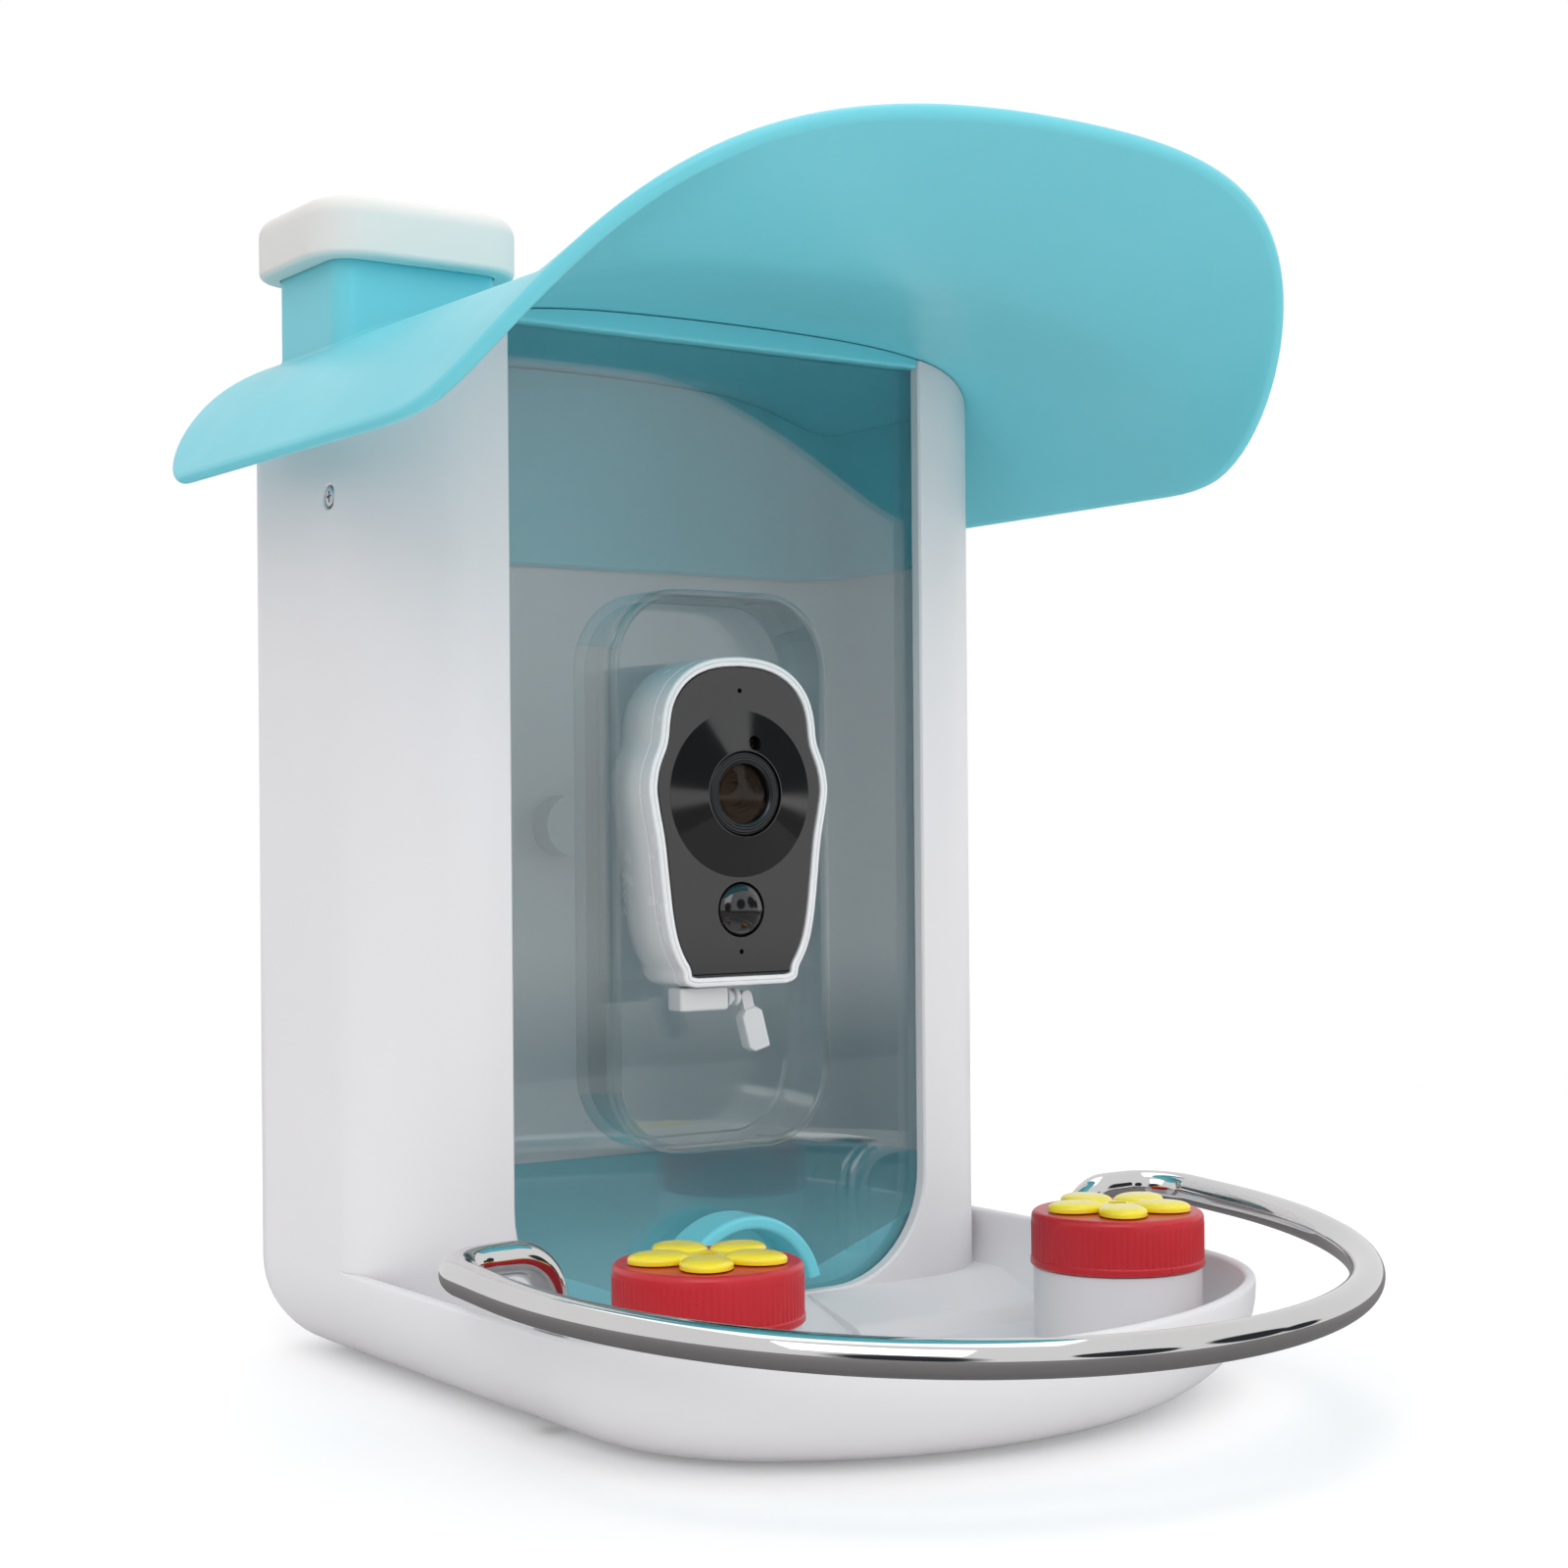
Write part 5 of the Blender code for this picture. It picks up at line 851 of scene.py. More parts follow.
# Housing
def housing():
    """The white moulding: tray and column, hollowed, with its window, bosses and holes."""
    rings = [at_height(base_outline(drawn_in), z) for z, drawn_in in foot_levels()]
    rings += [at_height(rim_outline(drawn_in), z) for drawn_in, z in round_end(RIM_ROUND, RIM_HEIGHT)]
    rings.append(at_height(column_outline(), RIM_HEIGHT))
    rings.append(at_height(column_outline(), ROOF_UNDER_HEIGHT + OVERRUN))
    body = loft(rings)
    bmesh.ops.remove_doubles(body, verts=body.verts, dist=MERGE_DISTANCE)
    bmesh.ops.dissolve_degenerate(body, dist=MERGE_DISTANCE, edges=body.edges)
    body = cut(body, tray_space(), chute())

    high = ROOF_UNDER_HEIGHT + ROOF_DROP
    edge = WINDOW_EDGE
    wide = window_outline(WINDOW_HALF_WIDTH + edge, SILL_Z - edge, high, WINDOW_CORNER_RADIUS)
    window = window_outline(WINDOW_HALF_WIDTH, SILL_Z, high, WINDOW_CORNER_RADIUS)
    opening = loft([at_depth(wide, -OVERRUN), at_depth(wide, 0.0), at_depth(window, edge),
                    at_depth(window, WALL + OVERRUN)])
    body = cut(body, hollow(WALL, FLOOR_TOP, high), opening, above_roof_underside(GAP))

    boss_radius = CUP_RADIUS - CUP_BOSS_INSET
    for side, _ in SIDES:
        boss = turned([(boss_radius, CUP_SEAT_Z - CUP_BOSS_HEIGHT),
                       (boss_radius, CUP_SEAT_Z + CUP_BOSS_HEIGHT - LEAST),
                       (boss_radius - LEAST, CUP_SEAT_Z + CUP_BOSS_HEIGHT)])
        shifted(boss, side * CUP_X, CUP_Y, 0.0)
        x = side * RAIL_LEG_X
        leg_hole = cylinder_z(x, -RAIL_LEG_Y, RAIL_RADIUS + GAP, RAIL_LOW[2] - GAP, RIM_HEIGHT)
        head_space = cylinder_z(x, -RAIL_LEG_Y, RAIL_SCREW_HEAD_RADIUS + GAP, -OVERRUN, RAIL_SCREW_SEAT_Z)
        body = cut(add(body, boss), leg_hole, head_space, screw_recess(side))

    sleeve_radius = (INSERT_HIGH[0] - INSERT_LOW[0]) / 2 + GAP
    sleeve_z = middle((INSERT_LOW, INSERT_HIGH))[2]
    boss = cylinder_y(0.0, sleeve_z, sleeve_radius + WALL, INSERT_LOW[1] - WALL, COLUMN_DEPTH - WALL / 2)
    hole = facing_front([(sleeve_radius, INSERT_LOW[1] - GAP), (sleeve_radius, COLUMN_DEPTH - LEAST),
                         (sleeve_radius + LEAST, COLUMN_DEPTH),
                         (sleeve_radius + LEAST, COLUMN_DEPTH + OVERRUN)], 0.0, sleeve_z)
    piece("housing_shell", cut(add(body, boss), hole), "housing_white", "base", "housing")


def tray_space():
    """The room in the tray, less the ledge, the column's filleted foot, pedestals and sockets."""
    levels = inner_levels(FLOOR_TOP, RIM_HEIGHT - RIM_ROUND)
    levels = [(z, RIM_THICKNESS + drawn_in) for z, drawn_in in levels]
    levels += [(RIM_HEIGHT - short, RIM_THICKNESS - drawn_in) for drawn_in, short in quarter(RIM_ROUND)[1:]]
    top = RIM_HEIGHT + OVERRUN
    levels.append((top, RIM_THICKNESS - RIM_ROUND))
    rings = [at_height(inwards(tray_front(), drawn_in), z) for z, drawn_in in levels]
    low = FLOOR_TOP - OVERRUN
    step = GAP / 3
    column = [at_height(column_outline(-step - COLUMN_FILLET), low)]
    for drawn_in, short in quarter(COLUMN_FILLET, EDGE * 2):
        column.append(at_height(column_outline(-step - short), FLOOR_TOP + drawn_in))
    column.append(at_height(column_outline(-step), top + OVERRUN))
    sill = SILL_Z - GAP
    inside = FRONT_CORNER_RADIUS + OVERRUN
    toe = -LEDGE_LENGTH - LEDGE_TOE
    wedge = [(inside, low), (inside, sill), (0.0, sill)]
    wedge += [(-LEDGE_LENGTH * along, FLOOR_TOP + LEDGE_FRONT_RISE * up) for along, up in LEDGE_FRONT_SHARES]
    wedge += [(toe, FLOOR_TOP + LEAST), (toe - LEDGE_TOE / 2, FLOOR_TOP), (toe - LEDGE_TOE / 2, low)]
    space = cut(loft(rings), loft(column), prism_x(wedge, -HALF_WIDTH, HALF_WIDTH))
    for side, _ in SIDES:
        pedestal = cylinder_z(side * CUP_X, CUP_Y, CUP_RADIUS, low, CUP_SEAT_Z, ROUND)
        radius = RAIL_RADIUS + GAP + RAIL_SOCKET_WALL
        socket_top = RAIL_LOW[2] + RAIL_SOCKET_DEPTH
        socket = turned([(radius + LEAST * 2, low), (radius + LEAST * 2, FLOOR_TOP),
                         (radius, FLOOR_TOP + LEAST * 3), (radius, socket_top - LEAST),
                         (radius - LEAST, socket_top)], SMALL_ROUND)
        shifted(socket, side * RAIL_LEG_X, -RAIL_LEG_Y, 0.0)
        space = cut(space, pedestal, socket)
    return space


def chute():
    """A channel from the sill down through the ledge to the tray's floor."""
    start = -GAP / 3
    end = -LEDGE_LENGTH - LEDGE_TOE
    top = SILL_Z + OVERRUN
    profile = [(start, SILL_Z - 2 * GAP), (start, top), (end, top), (end, FLOOR_TOP + GAP)]
    return prism_x(profile, -CHUTE_HALF_WIDTH, CHUTE_HALF_WIDTH)


def along_x(profile, side, y, z):
    """A turned solid on an axis along X, mirrored for a side: heights run outwards."""
    turn = Matrix.Rotation(side * math.pi / 2, 4, "Y")
    return moved(turned(profile, SMALL_ROUND), Matrix.Translation((0.0, y, z)) @ turn)


def screw_recess(side):
    """The round recess of a roof screw in the column's side."""
    wide = SCREW_RECESS_RADIUS + LEAST
    profile = [(SCREW_RECESS_RADIUS, HALF_WIDTH - SCREW_RECESS_DEPTH),
               (SCREW_RECESS_RADIUS, HALF_WIDTH - LEAST), (wide, HALF_WIDTH), (wide, HALF_WIDTH + OVERRUN)]
    return along_x(profile, side, ROOF_SCREW_Y, ROOF_SCREW_Z)


def roof_screws():
    """Round heads with a cross recess."""
    seat = HALF_WIDTH - SCREW_RECESS_DEPTH + GAP
    top = seat + SCREW_HEAD_HEIGHT
    profile = [(SCREW_HEAD_RADIUS, seat), (SCREW_HEAD_RADIUS, top - LEAST / 2),
               (SCREW_HEAD_RADIUS - LEAST, top)]
    a, b = SCREW_SLOT_HALF_LENGTH, SCREW_SLOT_HALF_WIDTH
    for side, word in SIDES:
        head = along_x(profile, side, ROOF_SCREW_Y, ROOF_SCREW_Z)
        for turn in (0.0, math.pi / 2):
            slot = prism_x([(-a, -b), (a, -b), (a, b), (-a, b)], top - LEAST, top + OVERRUN)
            moved(slot, Matrix.Rotation(turn, 4, "X"))
            if side < 0:
                moved(slot, Matrix.Rotation(math.pi, 4, "Z"))
            head = cut(head, shifted(slot, 0.0, ROOF_SCREW_Y, ROOF_SCREW_Z))
        piece("roof_screw_head_" + word, head, "steel", "base", "roof_screw_" + word)


# Roof
def roof_edge(x):
    """The Y of the roof's rear and front edges at a station across."""
    radius = ROOF_REAR_CORNER_RADIUS
    into = max(abs(x) - (ROOF_HALF_WIDTH - radius), 0.0)
    rear = COLUMN_DEPTH + ROOF_REAR_OVERHANG - (radius - math.sqrt(max(radius ** 2 - into ** 2, 0.0)))
    share = min(abs(x) / ROOF_HALF_WIDTH, 1.0)
    power = VISOR_OUTLINE_POWER
    front = -VISOR_SIDE_LENGTH - VISOR_REACH * max(1 - share ** power, 0.0) ** (1 / power)
    return rear, front


def roof_normal(x, y):
    """The upward normal of the roof's underside."""
    step = ROOF_THICKNESS / 10
    inner = math.copysign(min(abs(x), ROOF_HALF_WIDTH - step), x)
    slope_x = (roof_under(inner + step, y) - roof_under(inner - step, y)) / (2 * step)
    slope_y = (roof_under(x, y + step) - roof_under(x, y - step)) / (2 * step)
    return Vector((-slope_x, -slope_y, 1.0)).normalized()


def visor():
    """The roof sheet: two skins joined by a round edge."""
    mesh = bmesh.new()
    under, over, normals = [], [], []
    for x in roof_columns():
        rear, front = roof_edge(x)
        rows = [rear + (front - rear) * j / ROOF_ROWS for j in range(ROOF_ROWS + 1)]
        low = [Vector((x, y, roof_under(x, y))) for y in rows]
        turn = [roof_normal(p.x, p.y) for p in low]
        normals.append(turn)
        under.append([mesh.verts.new(p) for p in low])
        over.append([mesh.verts.new(p + n * ROOF_THICKNESS) for p, n in zip(low, turn)])
    last_column = len(under) - 1
    for grid in (under, over):
        for i in range(last_column):
            for j in range(ROOF_ROWS):
                mesh.faces.new((grid[i][j], grid[i + 1][j], grid[i + 1][j + 1], grid[i][j + 1]))
    loop = [(0, j) for j in range(ROOF_ROWS)] + [(i, ROOF_ROWS) for i in range(last_column)]
    loop += [(last_column, j) for j in range(ROOF_ROWS, 0, -1)]
    loop += [(i, 0) for i in range(last_column, 0, -1)]
    edge_steps = 2 * EDGE
    radius = ROOF_THICKNESS / 2
    rows = [[under[i][j] for i, j in loop]]
    for step in range(1, edge_steps):
        angle = math.pi * step / edge_steps
        ring = []
        for k, (i, j) in enumerate(loop):
            before, after = loop[k - 1], loop[(k + 1) % len(loop)]
            along = (under[after[0]][after[1]].co - under[before[0]][before[1]].co).normalized()
            normal = normals[i][j]
            outward = along.cross(normal).normalized()
            centre = under[i][j].co + normal * ROOF_THICKNESS / 2
            if outward.dot(Vector((centre.x, centre.y, 0.0))) < 0:
                outward = -outward
            point = centre - normal * radius * math.cos(angle) + outward * radius * math.sin(angle)
            ring.append(mesh.verts.new(point))
        rows.append(ring)
    rows.append([over[i][j] for i, j in loop])
    for low, high in zip(rows, rows[1:]):
        for k in range(len(loop)):
            n = (k + 1) % len(loop)
            mesh.faces.new((low[k], low[n], high[n], high[k]))
    bmesh.ops.recalc_face_normals(mesh, faces=mesh.faces)
    return mesh


def neck_outline(distance):
    return rounded_rectangle(NECK_MIDDLE_X, NECK_MIDDLE_Y, NECK_HALF_WIDTH - distance,
                             NECK_HALF_DEPTH - distance, NECK_CORNER_RADIUS - distance)


def divided(outline, longest):
    """The outline with its long straight runs divided."""
    points = []
    for k, (x, y) in enumerate(outline):
        nx, ny = outline[(k + 1) % len(outline)]
        parts = max(math.ceil(math.hypot(nx - x, ny - y) / longest), 1)
        points += [(x + (nx - x) * i / parts, y + (ny - y) * i / parts) for i in range(parts)]
    return points


def roof():
    """The roof sheet with its flared filler neck."""
    outline = divided(neck_outline(0.0), NECK_HALF_WIDTH / 10)

    def widened(offset):
        share_x = 1 + offset / NECK_HALF_WIDTH
        share_y = 1 + offset / NECK_HALF_DEPTH
        return [(NECK_MIDDLE_X + (x - NECK_MIDDLE_X) * share_x, NECK_MIDDLE_Y + (y - NECK_MIDDLE_Y) * share_y)
                for x, y in outline]

    def ring(offset, lift):
        """The neck's outline widened by an offset, over the roof's top by a lift."""
        return [Vector((x, y, roof_under(x, y) + ROOF_THICKNESS + lift)) for x, y in widened(offset)]

    rings = [ring(NECK_FLARE * 2, -ROOF_THICKNESS / 2)]
    for drawn_in, short in quarter(NECK_FLARE):
        rings.append(ring(short, drawn_in + ROOF_THICKNESS * NECK_FLARE_LIFT_SHARE))
    inner = -2 * NECK_WALL
    for offset, z in ((0.0, NECK_TOP - LEAST), (-LEAST, NECK_TOP), (inner, NECK_TOP)):
        rings.append(at_height(widened(offset), z))
    rings.append(ring(inner, -ROOF_THICKNESS / 2))
    bore = prism_z(neck_outline(NECK_WALL), ROOF_UNDER_HEIGHT - ROOF_DROP, NECK_TOP + OVERRUN)
    body = cut(add(visor(), loft(rings, closed=True)), bore)
    piece("roof_sheet", body, "roof_teal", "base", "roof")


def roof_collar():
    """The skirt under the roof, with a lip over the window."""
    outside = WALL + COLLAR_CLEARANCE
    low = ROOF_UNDER_HEIGHT - COLLAR_HEIGHT
    high = ROOF_UNDER_HEIGHT + OVERRUN
    head_band = ROOF_UNDER_HEIGHT - HEAD_BAND_HEIGHT
    inner = column_outline(outside + COLLAR_WALL)
    outer = column_outline(outside)
    between = column_outline(outside + COLLAR_WALL / 2)
    skirt = loft([at_height(between, low), at_height(outer, low + COLLAR_WALL / 3), at_height(outer, high),
                  at_height(inner, high), at_height(inner, low + COLLAR_WALL / 3)], closed=True)
    notch_half = PANEL_HIGH[0] + GAP
    notch = prism_z([(-notch_half, -OVERRUN), (notch_half, -OVERRUN), (notch_half, FRONT_CORNER_RADIUS),
                     (-notch_half, FRONT_CORNER_RADIUS)], low - OVERRUN, head_band)
    lip_half = WINDOW_HALF_WIDTH - GAP
    depth = outside + COLLAR_WALL / 2
    lip_round = LEAST * 2
    outline = [(GAP + lip_round, head_band), (depth, head_band), (depth, high), (GAP, high)]
    outline += [(GAP + drawn_in, head_band + short) for drawn_in, short in quarter(lip_round)][:-1]
    body = add(cut(skirt, notch), prism_x(outline, -lip_half, lip_half))
    piece("roof_skirt", cut(body, above_roof_underside(GAP)), "roof_teal", "base", "roof_collar")


def filler_cap():
    """The cap, and the ribbed seal inside it."""
    half_x = (CAP_HIGH[0] - CAP_LOW[0]) / 2
    half_y = (CAP_HIGH[1] - CAP_LOW[1]) / 2
    bottom, top = CAP_LOW[2], CAP_HIGH[2]
    levels = round_start(CAP_FOOT_ROUND, bottom) + round_end(CAP_TOP_ROUND, top, EDGE * 2)
    levels.append((CAP_TOP_ROUND * 2, top))
    rings = [at_height(rounded_rectangle(NECK_MIDDLE_X, NECK_MIDDLE_Y, half_x - drawn_in, half_y - drawn_in,
                                         CAP_CORNER_RADIUS - drawn_in), z) for drawn_in, z in levels]
    socket = prism_z(neck_outline(-SEAL_FIT), bottom - OVERRUN, NECK_TOP + GAP)
    piece("filler_cap_shell", cut(loft(rings), socket), "cap_white", "filler_cap", "filler_cap")

    low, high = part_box("filler_cap_seal")
    outer = neck_outline(NECK_WALL + SEAL_FIT)
    inner = neck_outline(NECK_WALL + SEAL_FIT + SEAL_THICKNESS)
    slim = neck_outline(NECK_WALL + SEAL_FIT + LEAST)
    rings = [at_height(slim, low[2])]
    for share, outline in zip(SEAL_RIB_SHARES, (outer, slim, outer, slim, outer)):
        rings.append(at_height(outline, low[2] + (high[2] - low[2]) * share))
    rings += [at_height(slim, high[2]), at_height(inner, high[2]), at_height(inner, low[2])]
    piece("filler_seal_ring", loft(rings, closed=True), "seal_clear", "filler_cap", "filler_cap_seal")


# Clear front
def pocket_outline(distance):
    return rounded_rectangle(0.0, POCKET_MIDDLE_Z, POCKET_HALF_WIDTH - distance,
                             POCKET_HALF_HEIGHT - distance, POCKET_CORNER_RADIUS - distance)


def window_panel():
    """The clear plate with its camera pocket and the seed outlet."""
    outline = window_outline(PANEL_HIGH[0], PANEL_LOW[2], PANEL_HIGH[2], WINDOW_CORNER_RADIUS)
    plate = prism_y(outline, PANEL_FRONT_Y, PANEL_BACK_Y)
    front = PANEL_LOW[1]
    back = PANEL_HIGH[1] - POCKET_WALL
    bead = POCKET_BEAD_ROUND
    levels = round_start(bead, front) + round_end(bead * 2, PANEL_HIGH[1])
    pocket = loft([at_depth(pocket_outline(d), y) for d, y in levels])
    levels = [(POCKET_WALL - bead, front - OVERRUN), (POCKET_WALL - bead, front)]
    levels += [(POCKET_WALL - short, front + drawn_in) for drawn_in, short in quarter(bead)][1:]
    levels += [(POCKET_WALL + drawn_in, back - short) for drawn_in, short in quarter(bead)]
    room = loft([at_depth(pocket_outline(d), y) for d, y in levels])
    arch = [(x, z) for x, z, _, _ in arc(0.0, SILL_Z, OUTLET_RADIUS, 0, 180, ROUND // 2)]
    outlet = prism_y([(OUTLET_RADIUS, -OVERRUN)] + arch + [(-OUTLET_RADIUS, -OVERRUN)],
                     PANEL_FRONT_Y - OVERRUN, PANEL_BACK_Y + OVERRUN)
    screw_hole = cylinder_y(0.0, middle(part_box("camera_mount_screw"))[2], MOUNT_SCREW_HOLE_RADIUS,
                            back - OVERRUN / 2, PANEL_HIGH[1] + OVERRUN)
    body = cut(add(plate, pocket), room, outlet, screw_hole)
    piece("clear_front", body, "clear_panel", "base", "window_panel")


def seed_hood():
    """A half-round eyebrow over the outlet, with a rounded front edge."""
    outer = OUTLET_RADIUS + HOOD_WALL
    tilt = math.degrees(math.asin(HOOD_END_RISE / outer))
    front, back = HOOD_LOW[1], HOOD_HIGH[1]
    section = [(outer, back)]
    section += [(outer - drawn_in, front + short) for drawn_in, short in quarter(HOOD_ROUND)]
    section += [(OUTLET_RADIUS + drawn_in, y) for drawn_in, y in round_start(HOOD_ROUND, front)]
    section.append((OUTLET_RADIUS, back))
    rings = []
    for i in range(ROUND + 1):
        a = math.radians(tilt + (180 - 2 * tilt) * i / ROUND)
        rings.append([Vector((r * math.cos(a), y, SILL_Z + r * math.sin(a))) for r, y in section])
    piece("outlet_hood", loft(rings), "roof_teal", "base", "seed_hood")


# Perch rail
def rail_z(y):
    """The rail lies in a plane that drops a little to the front."""
    front = -RAIL_LOW[1] - RAIL_RADIUS
    return RAIL_TOP_Z - RAIL_FRONT_DROP * (-y - RAIL_LEG_Y) / (front - RAIL_LEG_Y)


def bend(before, corner, after, radius, steps):
    """Points of a round bend between two straight runs that meet at a corner."""
    first = (before - corner).normalized()
    second = (after - corner).normalized()
    half = first.angle(second) / 2
    radius = min(radius, math.tan(half) * min((before - corner).length, (after - corner).length))
    back = radius / math.tan(half)
    start = corner + first * back
    centre = corner + (first + second).normalized() * (radius / math.sin(half))
    axis = second.cross(first).normalized()
    turn = math.pi - 2 * half
    return [centre + Matrix.Rotation(turn * i / steps, 3, axis) @ (start - centre) for i in range(steps + 1)]


def rail_path():
    """Centre line from the right foot round the front to the left foot."""
    foot_z = RAIL_LOW[2]
    half_width = HALF_WIDTH + RAIL_SIDE_REACH
    reach = TRAY_FRONT + RAIL_FRONT_REACH
    foot = Vector((RAIL_LEG_X, -RAIL_LEG_Y, foot_z))
    knee = Vector((RAIL_LEG_X, -RAIL_LEG_Y, rail_z(-RAIL_LEG_Y)))
    elbow = Vector((half_width, -RAIL_LEG_Y, rail_z(-RAIL_LEG_Y)))
    side = Vector((half_width, -RAIL_ARC_START, rail_z(-RAIL_ARC_START)))
    half = [foot, Vector((foot.x, foot.y, foot_z + LEAST))]
    half += bend(foot, knee, elbow, RAIL_LEG_BEND, RAIL_BEND_STEPS)
    half += bend(knee, elbow, side, RAIL_SIDE_BEND, RAIL_BEND_STEPS)
    path = list(half)
    for i in range(RAIL_ARC_STEPS + 1):
        a = math.pi * i / RAIL_ARC_STEPS
        y = -RAIL_ARC_START - (reach - RAIL_ARC_START) * math.sin(a)
        path.append(Vector((half_width * math.cos(a), y, rail_z(y))))
    path += [Vector((-p.x, p.y, p.z)) for p in reversed(half)]
    kept = [path[0]]
    for point in path[1:]:
        if (point - kept[-1]).length > RAIL_RADIUS / 8:
            kept.append(point)
    return kept


def swept(path, radius, sides):
    """A round rod along a path, its rings turned as little as they can be."""
    rings = []
    across = Vector((1.0, 0.0, 0.0))
    for i, point in enumerate(path):
        before = path[max(i - 1, 0)]
        after = path[min(i + 1, len(path) - 1)]
        along = (after - before).normalized()
        across = (across - along * across.dot(along)).normalized()
        other = along.cross(across)
        steps = [2 * math.pi * k / sides for k in range(sides)]
        rings.append([point + (across * math.cos(a) + other * math.sin(a)) * radius for a in steps])
    return loft(rings)


# Nectar cups
def ribbed_ring(radius, z, depth):
    """A lid's ring of points, with upright ribs of a depth."""
    count = LID_RIB_COUNT * 4
    points = []
    for i in range(count):
        a = 2 * math.pi * i / count
        r = radius - depth * (1 - abs(math.cos(a * LID_RIB_COUNT / 2)))
        points.append(Vector((r * math.cos(a), r * math.sin(a), z)))
    return points


def lid(x, y, word):
    """A screw lid with upright ribs, a plain collar and the nectar hole."""
    low, top = LID_LOW[2], LID_HIGH[2]
    bore = LID_RADIUS - LID_WALL
    ceiling = top - LID_TOP
    collar = low + LID_COLLAR_HEIGHT
    ribs_top = top - LID_ROUND * LID_RIB_END_SHARE
    slim = LID_RADIUS - LEAST / 2
    neck = slim - LEAST / 4
    levels = [(slim, low, 0.0), (LID_RADIUS, low + LEAST / 2, 0.0), (LID_RADIUS, collar - LEAST / 2, 0.0),
              (slim, collar, 0.0), (slim, collar + LEAST / 2, LID_RIB_DEPTH),
              (slim, ribs_top - LEAST, LID_RIB_DEPTH), (neck, ribs_top, 0.0)]
    levels += [(neck - drawn_in, z, 0.0) for drawn_in, z in round_end(LID_ROUND, top)]
    levels += [(NECTAR_HOLE_RADIUS + LEAST, top, 0.0), (NECTAR_HOLE_RADIUS, top - LEAST, 0.0),
               (NECTAR_HOLE_RADIUS, ceiling, 0.0), (bore, ceiling, 0.0), (bore, low, 0.0)]
    mesh = loft([ribbed_ring(r, z, depth) for r, z, depth in levels], closed=True)
    piece("ribbed_lid_" + word, shifted(mesh, x, y, 0.0), "lid_red", "lid_" + word, "lid_" + word)


def cup(x, y, word):
    """A cup with a threaded neck, a round floor and a recess for the tray's boss."""
    rim = CUP_HIGH[2]
    neck = LID_RADIUS - LID_WALL - 2 * GAP
    inner = neck - CUP_WALL
    recess = CUP_RADIUS - CUP_BOSS_INSET + GAP
    recess_top = CUP_SEAT_Z + CUP_BOSS_HEIGHT + GAP
    floor = recess_top + CUP_WALL
    low = CUP_LOW[2]
    profile = [(recess, recess_top), (recess, low), (CUP_RADIUS - LEAST, low), (CUP_RADIUS, low + LEAST)]
    profile += [(CUP_RADIUS - drawn_in, z) for drawn_in, z in round_end(LEAST, CUP_SHOULDER_Z)]
    thread = LEAST
    profile.append((neck - thread, CUP_SHOULDER_Z))
    height = rim - CUP_SHOULDER_Z
    for share, out in CUP_THREAD_SHARES:
        profile.append((neck - thread * (1 - out), CUP_SHOULDER_Z + height * share))
    profile += [(neck - thread, rim - LEAST), (neck - thread * 1.5, rim), (inner + thread / 2, rim),
                (inner, rim - LEAST)]
    profile += [(inner - drawn_in, floor + short) for drawn_in, short in quarter(CUP_WALL)]
    profile.append((LEAST / 2, floor))
    mesh = turned(profile + [(LEAST / 2, recess_top)], closed=True)
    bmesh.ops.remove_doubles(mesh, verts=mesh.verts, dist=MERGE_DISTANCE)
    piece("cup_body_" + word, shifted(mesh, x, y, 0.0), "housing_white", "cup_" + word, "nectar_cup_" + word)


def flower(x, y, word):
    """Five domed petals round a low centre, with the nectar hole through it."""
    low, high = FLOWER_LOW[2], FLOWER_HIGH[2]
    height = high - low
    blossom = turned([(r, low + height * share) for r, share in BLOSSOM_PROFILE], SMALL_ROUND)
    profile = [(1.0, 0.0), (1.0, PETAL_EDGE_SHARE)]
    for i in range(1, PETAL_STEPS):
        a = math.pi / 2 * i / PETAL_STEPS
        up = PETAL_EDGE_SHARE + (1 - PETAL_EDGE_SHARE) * math.sin(a) ** PETAL_RISE_POWER
        profile.append((math.cos(a) ** PETAL_ROUND_POWER, up))
    profile.append((PETAL_FLAT_SHARE, 1.0))
    for k in range(PETAL_COUNT):
        dome = turned(profile, SMALL_ROUND)
        moved(dome, Matrix.Diagonal((PETAL_HALF_LENGTH, PETAL_HALF_WIDTH, height, 1.0)))
        shifted(dome, PETAL_ORBIT, 0.0, low)
        moved(dome, Matrix.Rotation(FIRST_PETAL_ANGLE + 2 * math.pi * k / PETAL_COUNT, 4, "Z"))
        blossom = add(blossom, dome)
    hole = turned([(NECTAR_HOLE_RADIUS, low - OVERRUN), (NECTAR_HOLE_RADIUS, high + OVERRUN)], SMALL_ROUND)
    blossom = shifted(cut(blossom, hole), x, y, 0.0)
    piece("blossom_" + word, blossom, "petal_yellow", "lid_" + word, "flower_" + word)


